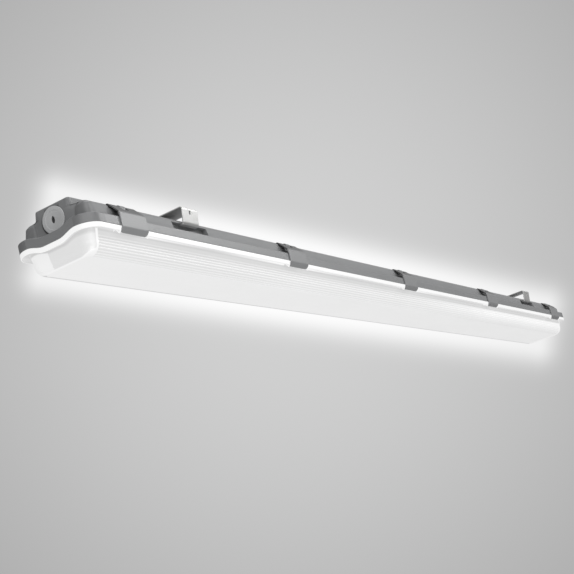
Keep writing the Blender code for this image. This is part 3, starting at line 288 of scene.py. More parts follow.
class StageSettings(PropertyGroup):
    """The camera, the lights and the floor."""

    lens: number("Lens", "Focal length of the camera in millimetres", 76.956)
    floor_height: length("Floor height", "Height of the floor", -2.2)
    floor_size: length("Floor size", "Half width of the floor", 14)
    backdrop: number("Backdrop", "Brightness round the stage", 0.3)
    wide_glow: number("Wide glow", "Brightness added in the middle of the view", 0.34)
    wide_reach: number("Wide reach", "Width of that glow", 0.36)
    halo: number("Halo", "Brightness added at the fixture's outline", 0.34)
    halo_reach: number("Halo reach", "Width of that halo", 0.0155)
    key_power: number("Key power", "Watts of the key light", 20)
    strip_power: number("Strip power", "Watts of the strip that the side mirrors", 16.5)
    low_power: number("Low power", "Watts of the light from below", 18)
    top_power: number("Top power", "Watts of the light overhead", 30)
    lens_power: number("Lens power", "Strength of the light from the lens", 0.78)


class FixtureSettings(PropertyGroup):
    """All settings of the fixture."""

    housing: PointerProperty(type=HousingSizes)
    lens: PointerProperty(type=LensSizes)
    latch: PointerProperty(type=LatchSizes)
    strap: PointerProperty(type=StrapSizes)
    grommet: PointerProperty(type=GrommetSizes)
    colours: PointerProperty(type=Colours)
    stage: PointerProperty(type=StageSettings)


# Surfaces


def trace(keys, reaches, steps=ROUND_STEPS):
    """Points along a line of keys, and the index of each key's first point.

    A key with a reach is rounded: a quadratic curve leaves the line one reach before
    the key and joins it one reach after, with weights (1 - t)^2, 2t(1 - t) and t^2 on
    its start, the key and its end. keys holds points, or whole rings of points.
    """
    keys = np.asarray(keys, float)
    ways = keys[1:] - keys[:-1]
    runs = np.linalg.norm(ways, axis=-1, keepdims=True)
    units = ways / np.maximum(runs, TINY)
    found = [keys[0]]
    starts = [0]
    t = np.linspace(0, 1, steps + 1).reshape((-1,) + (1,) * keys[0].ndim)
    for index in range(1, len(keys) - 1):
        starts.append(len(found))
        reach = reaches[index]
        if reach:
            before = keys[index] - units[index - 1] * np.minimum(reach, runs[index - 1] / 2)
            after = keys[index] + units[index] * np.minimum(reach, runs[index] / 2)
            curve = before * (1 - t) ** 2 + 2 * keys[index] * t * (1 - t) + after * t**2
            found.extend(curve)
        else:
            found.append(keys[index])
    starts.append(len(found))
    found.append(keys[-1])
    return np.array(found), starts


def smooth_step(share):
    """From 0 to 1 with level ends: 3t^2 - 2t^3 with t held between 0 and 1."""
    t = np.clip(share, 0, 1)
    return t * t * (3 - 2 * t)


def arc(centre, radius, start, end, steps):
    """Points on a circle: centre plus radius times (cosine, sine) of an angle that runs evenly."""
    turn = np.linspace(start, end, steps + 1)
    return np.array(centre) + radius * np.stack([np.cos(turn), np.sin(turn)], axis=-1)


def grid_quads(rows, columns, wrap_rows=False, wrap_columns=False):
    """Quads between neighbouring points of a grid, as indices, with the shape of the grid's cells."""
    i = np.arange(rows if wrap_rows else rows - 1)
    j = np.arange(columns if wrap_columns else columns - 1)
    down, across = np.meshgrid(i, j, indexing="ij")
    below = (down + 1) % rows
    beside = (across + 1) % columns
    corners = (down * columns + across, down * columns + beside, below * columns + beside)
    return np.stack([*corners, below * columns + across], axis=-1)


def cap_quads(first, count):
    """Closes a ring that mirrors in Y: each point joins its mirror point, strip by strip."""
    k = np.arange(count // 2)
    other = (count - k) % count
    beyond = (count - k - 1) % count
    return first + np.stack([k, k + 1, beyond, other], axis=-1)


def plain_mesh(name, points, faces, values=None):
    """A mesh from an array of points and arrays of faces, with its doubles merged.

    Columns that share a place leave faces with no area, which the merge takes away.
    """
    mesh = bpy.data.meshes.new(name)
    listed = [face for part in faces for face in part.reshape(-1, part.shape[-1]).tolist()]
    mesh.from_pydata(points.reshape(-1, 3).tolist(), [], listed)
    for title, numbers in (values or {}).items():
        layer = mesh.attributes.new(title, "FLOAT", "POINT")
        layer.data.foreach_set("value", np.ascontiguousarray(numbers, np.float32).ravel())
    shape = bmesh.new()
    shape.from_mesh(mesh)
    loose = [vertex for vertex in shape.verts if not vertex.link_faces]
    bmesh.ops.delete(shape, geom=loose, context="VERTS")
    bmesh.ops.remove_doubles(shape, verts=shape.verts, dist=MERGE_DISTANCE)
    bmesh.ops.dissolve_degenerate(shape, edges=shape.edges, dist=MERGE_DISTANCE)
    bmesh.ops.recalc_face_normals(shape, faces=shape.faces)
    shape.to_mesh(mesh)
    shape.free()
    return mesh


def shade(mesh):
    """Smooth shading that keeps edges sharp where two faces meet at a steep angle."""
    mesh.shade_smooth()
    mesh.set_sharp_from_angle(angle=SHARP_ANGLE)


def even_normals(piece):
    """Keeps flat areas flat beside fine roundings, by weighing normals with face area."""
    modifier = piece.modifiers.new("even_normals", "WEIGHTED_NORMAL")
    modifier.keep_sharp = True


def sheet_wall(piece, thickness, edge):
    """Gives an open surface its wall, half to each side, and rounds the wall's edges."""
    wall = piece.modifiers.new("wall", "SOLIDIFY")
    wall.thickness = thickness
    wall.offset = 0
    wall.use_even_offset = True
    soft = piece.modifiers.new("edge", "BEVEL")
    soft.width = edge
    soft.segments = 2
    soft.limit_method = "ANGLE"
    soft.angle_limit = math.radians(50)
    soft.harden_normals = False
    even_normals(piece)


def add_piece(name, mesh, material, body, node):
    """A finished piece that stands for a CAD node and rides on its body."""
    piece = bpy.data.objects.new(name, mesh)
    bpy.context.scene.collection.objects.link(piece)
    mesh.materials.append(material)
    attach(piece, body)
    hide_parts(node)
    return piece


def turned(profile, sides):
    """A turned surface about +Z: radius times (cosine, sine) of the turn, at the profile's height."""
    turn = np.arange(sides) * 2 * HALF_TURN / sides
    around = np.stack([np.cos(turn), np.sin(turn)], axis=-1)
    rows = np.empty((len(profile), sides, 3))
    rows[:, :, :2] = profile[:, None, :1] * around
    rows[:, :, 2] = profile[:, None, 1]
    return rows, grid_quads(len(profile), sides, wrap_columns=True)


# Outlines seen from above


def rounded_quarter(half_length, half_width, corner):
    """A quarter of a rounded rectangle: x and y.

    x stays at the half length up to the corner, while y grows by the end shares. Round
    the corner both follow a quarter circle.
    """
    share = np.interp(ALONG_QUARTER, range(len(END_SHARES)), END_SHARES)
    turn = QUARTER_TURN * np.clip((ALONG_QUARTER - END_SPAN) / END_SPAN, 0, 1)
    x = half_length - corner + corner * np.cos(turn)
    y = share * (half_width - corner) + corner * np.sin(turn)
    return x, y


def wave(depth):
    """How far the ends hang: depth times half of one minus the cosine of a half turn's share."""
    share = np.interp(ALONG_QUARTER, range(len(END_SHARES)), END_SHARES)
    rise = np.clip((1 - share) / (1 - DIP_FLAT_SHARE), 0, 1)
    return depth * (1 - np.cos(math.pi * rise)) / 2


def softened(values):
    """Rounds the kinks along an outline: each value becomes a quarter, a half and a quarter of three."""
    result = values.copy()
    result[..., 1:-1] = (values[..., :-2] + 2 * values[..., 1:-1] + values[..., 2:]) / 4
    return result


def mirrored(quarter, side):
    """Whole rings, anticlockwise from above, from a quarter at +X +Y and the stations of the +Y side."""
    flip_x = np.ones(quarter.shape[-1])
    flip_x[0] = -1
    flip_y = np.ones(quarter.shape[-1])
    flip_y[1] = -1
    second = (quarter * flip_x)[:, ::-1]
    third = (quarter * flip_x * flip_y)[:, 1:]
    near = (side * flip_y)[:, ::-1]
    fourth = (quarter * flip_y)[:, ::-1][:, :-1]
    return np.concatenate([quarter, side, second, third, near, fourth], axis=1)


def stations(zones, end, plain_steps=2):
    """Columns along the side, from +X to -X, and the form of the profile at each.

    A zone is its low x, its high x and a form. Where two forms meet there are two
    columns at one x, so the faces between them are the wall across.
    """
    spans = []
    here = -end
    for low, high, form in sorted(zones):
        if low > here:
            spans.append((here, low, PLAIN))
        spans.append((low, high, form))
        here = high
    spans.append((here, end, PLAIN))
    xs = [np.linspace(low, high, plain_steps + 1) for low, high, form in spans]
    forms = [np.full(plain_steps + 1, form) for low, high, form in spans]
    return np.concatenate(xs)[::-1], np.concatenate(forms)[::-1]


def latch_middles(latch):
    """The x of each latch on one side."""
    return (np.arange(latch.count) - (latch.count - 1) / 2) * latch.pitch


# The housing


def end_flat(p, height):
    """Half the width of the flat end wall, which widens evenly from the foot to the ridge."""
    foot = p.skirt_height + p.ledge_rise
    share = min(max((height - foot) / (p.ridge_height - foot), 0), 1)
    return p.end_flat_half + share * (p.ridge_edge_half - p.ridge_corner - p.end_flat_half)


def body_outline(p, side_inset, height):
    """Flat end wall, straight facet, then a post from -45 to 90 degrees.

    The post is a circle whose cosine and sine are raised to a power, which makes it squarer.
    """
    flat = end_flat(p, height)
    x_end = p.half_length - p.end_wall_inset
    radius = p.post_inset - side_inset
    u = ALONG_QUARTER
    start = math.radians(-45)
    turn = start + (QUARTER_TURN - start) * np.clip((u - END_SPAN) / END_SPAN, 0, 1)
    squarer = np.stack([np.cos(turn), np.sin(turn)])
    squarer = np.sign(squarer) * np.abs(squarer) ** p.post_power
    post_x = p.half_length - p.post_setback + radius * squarer[0]
    post_y = p.half_width - p.post_inset + radius * squarer[1]
    facet = np.clip((u - FLAT_SPAN) / (END_SPAN - FLAT_SPAN), 0, 1)
    x = np.where(u < END_SPAN, x_end + (post_x[0] - x_end) * facet, post_x)
    y = np.where(u < END_SPAN, flat + (post_y[0] - flat) * facet, post_y)
    return x, np.where(u < FLAT_SPAN, flat * u / FLAT_SPAN, y)


def hollow_outline(p, side_inset, height):
    """Flat end wall inside, then a plain slanted corner behind the post."""
    x_end = p.half_length - p.end_wall_inset - p.wall
    flat = end_flat(p, height) - p.wall / 2
    y_side = p.half_width - side_inset
    u = ALONG_QUARTER
    slant = np.clip((u - FLAT_SPAN) / (QUARTER_SPAN - FLAT_SPAN), 0, 1)
    y = np.where(u < FLAT_SPAN, flat * u / FLAT_SPAN, flat + (y_side - flat) * slant)
    return x_end - (y_side - flat) * slant, y


def ridge_outline(p, half_width, end_inset, height):
    """Flat end, slanted corner, then straight along the side."""
    x_end = p.half_length - end_inset
    flat = min(end_flat(p, height), half_width - p.ridge_corner)
    u = ALONG_QUARTER
    slant = np.clip((u - FLAT_SPAN) / (END_SPAN - FLAT_SPAN), 0, 1)
    along = np.clip((u - END_SPAN) / END_SPAN, 0, 1)
    corner_x = x_end - p.ridge_corner * slant
    x = corner_x + (p.half_length - p.post_setback - (x_end - p.ridge_corner)) * along
    y = np.where(u < FLAT_SPAN, flat * u / FLAT_SPAN, flat + (half_width - flat) * slant)
    return x, y


def housing_keys(p, latch):
    """The key rings of a quarter, from the roof of the hollow round the skirt to the ridge's top.

    Returns names, rings and the reach of each ring's rounding.
    """
    wave_drop = wave(p.end_dip)
    names, rings, reaches = [], [], []

    def put(name, outline, height, dip_share, reach=0.0):
        x, y = outline
        z = height - p.seam_drop - dip_share * wave_drop
        names.append(name)
        rings.append(np.stack([softened(x), softened(y), softened(z)], axis=-1))
        reaches.append(reach)

    def skirt(inset):
        return rounded_quarter(p.half_length - inset, p.half_width - inset, p.plan_corner - inset)

    foot = p.skirt_height + p.ledge_rise
    end_in = p.end_wall_inset + p.wall
    roof_half = p.ridge_edge_half - p.wall
    hollow_top = p.shoulder_height - p.wall
    channel_in = p.skirt_wall + p.channel_width
    step = 0.0002
    put("roof", ridge_outline(p, roof_half, end_in, p.ridge_height), p.ridge_height - p.roof_wall, 0)
    put("roof_foot", ridge_outline(p, roof_half, end_in, p.ridge_height), hollow_top + step, 0)
    put("hollow_shoulder", hollow_outline(p, p.hollow_shoulder_inset, hollow_top), hollow_top, 0)
    put("hollow_bend", hollow_outline(p, p.hollow_inset, p.hollow_bend_height), p.hollow_bend_height, 0)
    put("lip", hollow_outline(p, p.hollow_inset, p.lip_height), p.lip_height, 1)
    put("channel_in_low", skirt(channel_in), p.lip_height, 1)
    put("channel_in_high", skirt(channel_in), p.channel_depth, 1)
    put("channel_out_high", skirt(p.skirt_wall), p.channel_depth, 1)
    put("channel_out_low", skirt(p.skirt_wall), 0, 1, 0.0003)
    put("skirt_low", skirt(0), 0, 1, 0.0004)
    put("skirt_top", skirt(0), p.skirt_height, 1, p.skirt_edge)
    put("foot", body_outline(p, p.foot_inset, foot), foot, 1, 0.0009)
    put("wall_top", body_outline(p, p.wall_top_inset, p.wall_top_height), p.wall_top_height, 0, 0.0007)
    put("shoulder", body_outline(p, p.shoulder_inset, p.shoulder_height), p.shoulder_height, 0, 0.0007)
    high = p.shoulder_height + step
    put("ridge_foot", ridge_outline(p, p.ridge_foot_half, p.end_wall_inset, high), high, 0, 0.0006)
    edge = ridge_outline(p, p.ridge_edge_half, p.end_wall_inset, p.ridge_height)
    put("ridge_edge", edge, p.ridge_height, 0, p.ridge_edge)
    inner = ridge_outline(p, p.ridge_edge_half - 0.002, p.end_wall_inset + 0.002, p.ridge_height)
    put("ridge_top", inner, p.ridge_height, 0)

    def between(name, before, share):
        """A ring part of the way from one key to the next."""
        at = names.index(before)
        names.insert(at + 1, name)
        rings.insert(at + 1, rings[at] + (rings[at + 1] - rings[at]) * share)
        reaches.insert(at + 1, 0.0)

    rise = p.wall_top_height - foot
    entry = pocket_entry(p, latch)
    shares = [
        (p.recess_low - foot) / rise,
        (latch.pivot_height - latch.lug_foot - foot) / rise,
        (entry - foot) / rise,
        (p.recess_high - foot) / rise,
    ]
    done = 0.0
    before = "foot"
    for name, share in zip(("recess_low", "lug_foot", "pocket_edge", "recess_high"), shares):
        between(name, before, (share - done) / (1 - done))
        done = share
        before = name
    pocket_back = latch.pivot_inset + pocket_radius(latch)
    run = p.half_width - p.ridge_foot_half - p.shoulder_inset
    between("pocket_back", "shoulder", (pocket_back - p.shoulder_inset) / run)
    back = p.recess_inset + p.recess_wall
    lean = p.hollow_shoulder_inset - p.hollow_inset
    between("hollow_mid", "hollow_shoulder", (p.hollow_shoulder_inset - back) / lean)
    drop = p.hollow_bend_height - p.lip_height
    low = p.recess_low - p.recess_wall
    between("hollow_low", "hollow_bend", (p.hollow_bend_height - low) / drop / 2)
    between("hollow_foot", "hollow_low", 1 - (low - p.lip_height) / (drop - (p.hollow_bend_height - low) / 2))
    return names, rings, reaches


def pocket_radius(latch):
    """The radius of the pocket that a rolled eye turns in."""
    return latch.eye_radius + latch.sheet / 2 + latch.side_gap


def pocket_entry(p, latch):
    """The height where the side wall enters the pocket's circle."""
    foot = np.array([p.foot_inset, p.skirt_height + p.ledge_rise])
    top = np.array([p.wall_top_inset, p.wall_top_height])
    way = (top - foot) / np.linalg.norm(top - foot)
    pivot = np.array([latch.pivot_inset, latch.pivot_height])
    run = (pivot - foot) @ way
    away = (pivot - foot) @ (pivot - foot) - run * run
    half_chord = math.sqrt(pocket_radius(latch) ** 2 - away)
    return float((foot + way * (run - half_chord))[1])


def housing_forms(p, latch, profile, rows):
    """The points that each form puts in place of the plain profile: (forms, first row, pairs).

    A pocket is the lower arc of a circle and a straight wall up. A lug is a step out, a
    straight side and the upper arc. A recess is a step in and out. Pairs are insets and heights.
    """
    pivot = np.array([latch.pivot_inset, latch.pivot_height])
    radius = pocket_radius(latch)
    entry = profile[rows["pocket_edge"]]
    start = math.atan2(entry[1] - pivot[1], entry[0] - pivot[0])
    free = rows["pocket_back"] - rows["pocket_edge"] - 1
    round_steps = free - 2
    bowl = arc(pivot, radius, start, 0, round_steps)[1:]
    top = profile[rows["pocket_back"]]
    wall = bowl[-1] + (top - bowl[-1]) * np.array([[1 / 3], [2 / 3]])
    pocket = np.concatenate([bowl, wall])
    side = latch.pivot_inset - latch.lug_radius
    low = latch.pivot_height - latch.lug_foot
    span = rows["pocket_back"] - rows["wall_top"]
    head = arc(pivot, latch.lug_radius, HALF_TURN, math.radians(62), span - 1)
    stem = [(side, low), (side, (low + latch.pivot_height) / 2)]
    lug_rows = rows["wall_top"] - rows["lug_foot"] - 1
    stem += [(side, (low + 2 * latch.pivot_height) / 3)] * (lug_rows - len(stem))
    lug = np.concatenate([stem, head])
    recess = np.array([(p.recess_inset, p.recess_low), (p.recess_inset, p.recess_high)])
    back = p.recess_inset + p.recess_wall
    backing = np.array([(back, p.hollow_bend_height), (back, p.recess_low - p.recess_wall)])
    return [
        ((POCKET,), rows["pocket_edge"] + 1, pocket),
        ((LUG,), rows["lug_foot"] + 1, lug),
        ((RECESS,), rows["recess_low"] + 1, recess),
        ((RECESS, BACKED), rows["hollow_mid"] + 1, backing),
    ]


def with_forms(levels, xs, forms, overrides, half_width, seam_drop):
    """The side's columns: the quarter's last profile at each x, with the forms put in."""
    side = np.repeat(levels[:, -1:, :], len(xs), axis=1)
    side[:, :, 0] = xs
    for which, first, pairs in overrides:
        columns = np.flatnonzero(np.isin(forms, which))
        rows = np.arange(first, first + len(pairs))
        side[np.ix_(rows, columns, [1])] = (half_width - pairs[:, :1])[:, None, :]
        side[np.ix_(rows, columns, [2])] = (pairs[:, 1:] - seam_drop)[:, None, :]
    return side


def housing_mesh(p, latch, strap):
    """The closed shell of the housing, before its cable holes are cut."""
    names, rings, reaches = housing_keys(p, latch)
    levels, starts = trace(rings, reaches)
    rows = dict(zip(names, starts))
    outer = latch.width / 2 + latch.side_gap
    zones = []
    for x in latch_middles(latch):
        zones.append((x - outer, x - latch.lug_half, POCKET))
        zones.append((x - latch.lug_half, x + latch.lug_half, LUG))
        zones.append((x + latch.lug_half, x + outer, POCKET))
    for x in (-strap.spacing / 2, strap.spacing / 2):
        wide = p.recess_half + p.recess_wall
        zones.append((x - wide, x - p.recess_half, BACKED))
        zones.append((x - p.recess_half, x + p.recess_half, RECESS))
        zones.append((x + p.recess_half, x + wide, BACKED))
    xs, forms = stations(zones, p.half_length - p.side_setback)
    # Two more columns near each end, where the painted shade of the corners stops.
    extra = p.half_length - p.corner_shade_end + np.array([0.0004, 0.0])
    xs = np.concatenate([extra, xs, -extra[::-1]])
    forms = np.concatenate([[PLAIN] * 2, forms, [PLAIN] * 2])
    profile = np.stack([p.half_width - levels[:, -1, 1], levels[:, -1, 2] + p.seam_drop], axis=-1)
    overrides = housing_forms(p, latch, profile, rows)
    levels = np.concatenate([levels, np.ones(levels.shape[:2] + (1,))], axis=-1)
    side = with_forms(levels, xs, forms, overrides, p.half_width, p.seam_drop)
    # Painted shade: the corners round the ends are darker than the sides, from the skirt up to the shoulder.
    skirt_rows = slice(rows["skirt_low"], rows["foot"])
    levels[rows["skirt_low"] : rows["shoulder"], END_SPAN * STEPS_EACH :, 3] = p.corner_painted_shade
    side[skirt_rows, [0, -1], 3] = p.corner_painted_shade
    # Painted shade on the back wall of each strap's recess.
    painted_shade = np.arange(rows["recess_low"] + 1, rows["recess_low"] + 3)
    side[np.ix_(painted_shade, np.flatnonzero(forms == RECESS), [3])] = p.recess_painted_shade
    points = mirrored(levels, side)
    count = points.shape[1]
    faces = [grid_quads(len(points), count, wrap_columns=True)]
    faces.append(cap_quads(0, count))
    faces.append(cap_quads((len(points) - 1) * count, count))
    return plain_mesh("housing_shell", points[..., :3], faces, {"tone": points[..., 3]})


def cut_cable_holes(piece, p, grommet):
    """Cuts a round hole in each end wall, and keeps the result as the piece's mesh."""
    deep = 2 * p.wall
    profile = np.array([(0, -deep), (grommet.hole_radius, -deep), (grommet.hole_radius, deep), (0, deep)])
    rows, quads = turned(profile, 64)
    parts, faces = [], []
    for index, way in enumerate((-1, 1)):
        turned_over = rows[..., [2, 1, 0]]
        x = way * (p.half_length - p.end_wall_inset - p.wall / 2)
        parts.append((turned_over + (x, 0, grommet.height - p.seam_drop)).reshape(-1, 3))
        faces.append(quads + index * rows.shape[0] * rows.shape[1])
    cutter = bpy.data.objects.new("hole_cutter", plain_mesh("hole_cutter", np.concatenate(parts), faces))
    bpy.context.scene.collection.objects.link(cutter)
    cut = piece.modifiers.new("cable_holes", "BOOLEAN")
    cut.operation = "DIFFERENCE"
    cut.solver = "EXACT"
    cut.object = cutter
    graph = bpy.context.evaluated_depsgraph_get()
    mesh = bpy.data.meshes.new_from_object(piece.evaluated_get(graph))
    piece.modifiers.clear()
    piece.data = mesh
    bpy.data.objects.remove(cutter)


# The lens


def wall_inset(height, inset, draft, radius, wall, p):
    """The inset of a drafted wall at a height, and how far round into the floor it has turned."""
    bend = wall - p.depth + radius
    share = np.clip((-height - p.flange) / (-bend - p.flange), 0, 1)
    below = np.clip(bend - height, 0, radius)
    return inset + wall + draft * share + radius - np.sqrt(radius**2 - below**2)


def rib_levels(p):
    """Heights up the outside of the bowl, the turn of the wall there, and the rib's phase (or -1).

    The wall turns into the floor on a quarter circle; below the first rib the distance
    down the wall runs evenly, eight steps to a rib.
    """
    bend = p.side_radius - p.depth
    straight = -p.rib_top - bend
    last_turn = math.radians(87)
    total = straight + p.side_radius * last_turn
    run = np.linspace(total, 0, p.rib_count * 8 + 1)
    turn = np.clip((run - straight) / p.side_radius, 0, None)
    heights = np.where(run < straight, -p.rib_top - run, bend - p.side_radius * np.sin(turn))
    low_turn = np.linspace(QUARTER_TURN, last_turn, 3)[:-1]
    low = bend - p.side_radius * np.sin(low_turn)
    high = np.array([-0.0077, -p.cheek_height, -0.0052, -0.0037])
    phase = np.concatenate([np.full(2, -1.0), run / total * p.rib_count, np.full(4, -1.0)])
    turns = np.concatenate([low_turn, turn, np.zeros(4)])
    return np.concatenate([low, heights, high]), turns, phase


def lens_mesh(p, housing, latch):
    """The closed shell of the lens, with its glow kept on its points.

    Every row of the outline is a rounded rectangle at a height. Down the side the wall
    follows its draft and radius, and each rib's groove sinks by half of one minus the
    cosine of its phase, square to the wall.
    """
    heights, turns, phase = rib_levels(p)
    side = wall_inset(heights, p.side_inset, p.side_draft, p.side_radius, 0, p)
    end = wall_inset(heights, p.end_inset, p.end_draft, p.end_radius, 0, p)
    groove = np.where(phase < 0, 0, p.rib_depth * (1 - np.cos(2 * math.pi * phase)) / 2)
    outer = len(heights)
    tongue_in = housing.skirt_wall + (housing.channel_width - p.tongue_width) / 2
    top = -latch.fit_gap
    keys = [
        (float(side[-1]) - 0.0004, -p.flange),
        (p.rim_wall, -p.flange),
        (p.rim_wall, -p.rim_height),
        (0, -p.rim_height),
        (0, top),
        (tongue_in, top),
        (tongue_in, p.tongue_height),
        (tongue_in + p.tongue_width, p.tongue_height),
        (tongue_in + p.tongue_width, top),
    ]
    rim, starts = trace(keys, [0, 0, 0.0004, 0.0007, 0.0003, 0, 0.0003, 0.0003, 0])
    inner_heights = np.array([top, -p.flange, -0.006, -0.012])
    radius = p.side_radius - p.wall
    inner_turn = np.linspace(0, QUARTER_TURN, 9)
    low = p.wall - p.depth + radius * (1 - np.sin(inner_turn))
    inner_heights = np.concatenate([inner_heights, low])
    inner_side = wall_inset(inner_heights, p.side_inset, p.side_draft, radius, p.wall, p)
    inner_end = wall_inset(inner_heights, p.end_inset, p.end_draft, p.end_radius - p.wall, p.wall, p)
    height = np.concatenate([heights, rim[:, 1], inner_heights])
    side_inset = np.concatenate([side, rim[:, 0], inner_side])
    end_inset = np.concatenate([end, rim[:, 0], inner_end])
    bowl_corner = p.end_inset + p.corner - end_inset
    is_rim = np.zeros(len(height), bool)
    is_rim[outer : outer + len(rim)] = True
    corner = np.where(is_rim, housing.plan_corner - end_inset, bowl_corner)
    fade = np.clip((height + p.wave_end) / (p.wave_end - p.flange), 0, 1)
    dip_share = np.where(is_rim, 1, fade)
    x, y = rounded_quarter(
        (housing.half_length - end_inset)[:, None],
        (housing.half_width - side_inset)[:, None],
        corner[:, None],
    )
    z = (height - housing.seam_drop)[:, None] - dip_share[:, None] * wave(housing.end_dip)
    lit, flank = lens_glow(p, height, phase, outer, is_rim, rim)
    quarter = np.stack([softened(x), y, softened(z), lit], axis=-1)
    room = latch.width / 2 + latch.side_gap
    zones = []
    for middle in latch_middles(latch):
        zones.append((middle - room - p.cheek_width, middle - room, CHEEK))
        zones.append((middle - room, middle + room, NOTCH))
        zones.append((middle + room, middle + room + p.cheek_width, CHEEK))
    start = housing.half_length - p.rib_setback
    zones_end = start - p.rib_run_out
    xs, forms = stations(zones, zones_end)
    run_out = start - np.linspace(0, p.rib_run_out, 6)[:-1]
    xs = np.concatenate([run_out, xs, -run_out[::-1]])
    forms = np.concatenate([np.zeros(5, int), forms, np.zeros(5, int)])
    overrides = lens_forms(p, latch, starts, outer)
    columns = with_forms(quarter, xs, forms, overrides, housing.half_width, housing.seam_drop)
    reach = smooth_step((start - np.abs(xs)) / p.rib_run_out)
    columns[:outer, :, 1] -= (groove * np.cos(turns))[:, None] * reach
    columns[:outer, :, 2] += (groove * np.sin(turns))[:, None] * reach
    columns[:, :, 3] = flank[:, None]
    is_rib = (phase >= 0)[:, None]
    columns[:outer, :, 3] += 0.06 * smooth_step((xs + 0.6) / 0.4) * is_rib
    even = p.ribs_far_glow - 0.17 * np.clip(phase / p.rib_count, 0, 1)
    fade = 0.9 * smooth_step((xs - p.ribs_fade) / 0.4) * is_rib
    columns[:outer, :, 3] += (even[:, None] - columns[:outer, :, 3]) * fade
    cheeks = np.flatnonzero(forms == CHEEK)
    columns[outer : outer + 12, cheeks, 3] = 1.0
    points = mirrored(quarter, columns)
    count = points.shape[1]
    faces = [grid_quads(len(points), count, wrap_columns=True)]
    faces.append(cap_quads(0, count))
    faces.append(cap_quads((len(points) - 1) * count, count))
    glow = far_light(p, housing, points, turns, outer)
    return plain_mesh("lens_shell", points[..., :3], faces, {"glow": glow})


def lens_forms(p, latch, starts, outer):
    """What the rim does at a latch: (forms, first row, pairs of inset and height).

    In a notch the rim stops at a slanted seat that runs along the hook. A cheek fills
    the corner under the flange beside it.
    """
    start = np.array([-latch.gap - latch.sheet / 2, -latch.hook_bend])
    end = np.array([latch.hook_inset, -latch.hook_tip])
    way = (end - start) / np.linalg.norm(end - start)
    seat = start + np.array([-way[1], way[0]]) * (latch.sheet / 2 + latch.fit_gap)
    slope = way[1] / way[0]
    inner = (p.rim_wall, seat[1] + slope * (p.rim_wall - seat[0]))
    outer_low = (0, seat[1] + slope * (0 - seat[0]))
    first = starts[2]
    last = starts[4]
    share = np.linspace(0, 1, last - first)[:, None]
    notch = np.array(inner) + (np.array(outer_low) - inner) * share
    share = np.linspace(0, 1, last - first)[:, None]
    corner = np.array((p.cheek_low_inset, -p.cheek_height))
    face = corner + (np.array((p.cheek_out, -p.cheek_rise)) - corner) * share
    cheek = np.concatenate([[(p.cheek_back, -p.flange)] * (first - starts[1]), face])
    return [((NOTCH,), outer + first, notch), ((CHEEK,), outer + starts[1], cheek)]


def lens_glow(p, height, phase, outer, is_rim, rim):
    """How bright the lens is, from 0 to 1: over a quarter's rows and columns, and by row on the side.

    The floor is even, each rib is brightest at its tip, the band above the ribs is
    darker, and the rim is brightest. Bright lines follow the foot of the end wall, round
    the corner and up its end, with a soft patch beside them.
    """
    side = np.full(len(height), 0.9)
    out = height[:outer]
    low = np.clip(phase / p.rib_count, 0, 1)
    ribs = 0.71 + 0.15 * low + (0.1 - 0.03 * low) * np.cos(2 * math.pi * phase)
    side[:outer] = np.where(phase < 0, 0.95, ribs)
    side[:outer] = np.where(out > -p.rib_top + 0.0001, 0.69, side[:outer])
    side[:outer] = np.where(out > -0.0045, 0.58, side[:outer])
    side[is_rim] = np.where(rim[:, 0] < p.rim_wall - 0.0004, 1.0, 0.66)
    around = ALONG_QUARTER[None, :]
    foot = -0.0241 + 0.0042 * smooth_step((around - 5) / 4.5)
    patch = 0.11 * np.exp(-(((around - 8.3) / 0.9) ** 2))
    wall = (0.6 + 0.17 * smooth_step((-0.0056 - out) / 0.002))[:, None] + patch
    lit = np.where(out[:, None] < foot - 0.0002, 0.95, wall)
    line = np.exp(-(((out[:, None] - foot) / 0.0005) ** 2))
    rise = (around > 9.4) & (out[:, None] > foot)
    lit = lit + (1.1 - lit) * np.where(rise, 0.9, line)
    whole = np.repeat(side[:, None], len(ALONG_QUARTER), axis=1)
    whole[:outer] = lit
    return whole, side


def far_light(p, housing, points, turns, outer):
    """The glow on the far side: a brighter end wall past a line, and a dim edge under the floor's rim."""
    glow = points[..., 3]
    x, y = points[:outer, :, 0], points[:outer, :, 1]
    at_end = np.abs(x) > housing.half_length - p.end_inset - p.corner
    past = at_end & (y > p.patch_start)
    brighter = np.maximum(glow[:outer], 0.94)
    brighter[-2:] = glow[outer - 2 : outer]
    glow[:outer] = np.where(past, brighter, glow[:outer])
    corner = smooth_step((x - housing.half_length + p.end_inset + p.corner + 0.003) / 0.007)
    corner = corner * ((y < 0) | (turns > math.radians(75))[:, None])
    glow[:outer] += (1.25 - glow[:outer]) * corner
    dim = (turns > math.radians(60)) & (turns < math.radians(83))
    limb = dim[:, None] & (y > 0) & (np.abs(x) < housing.half_length - 0.014)
    glow[:outer] = np.where(limb, 0.66, glow[:outer])
    return glow


# Latches, straps, grommets and pins


def latch_path(p):
    """The bent sheet of a latch about its pin, as pairs of distance out and up.

    An arc rolls round the pin and leaves it on the tangent to the upper bend. The plate
    hangs from there, and the hook turns in under the rim.
    """
    out = p.pivot_inset + p.gap + p.sheet / 2
    top = (out, p.plate_top - p.pivot_height)
    foot = (out, -p.hook_bend - p.pivot_height)
    tip = (p.pivot_inset - p.hook_inset, -p.hook_tip - p.pivot_height)
    leave = math.atan2(top[1], top[0]) + math.acos(p.eye_radius / math.hypot(*top))
    eye = arc((0, 0), p.eye_radius, math.radians(298), leave, 20)
    bent, starts = trace([eye[-1], top, foot, tip], [0, p.bend, p.bend, 0], 6)
    return np.concatenate([eye, bent[1:]]), len(eye) - 1


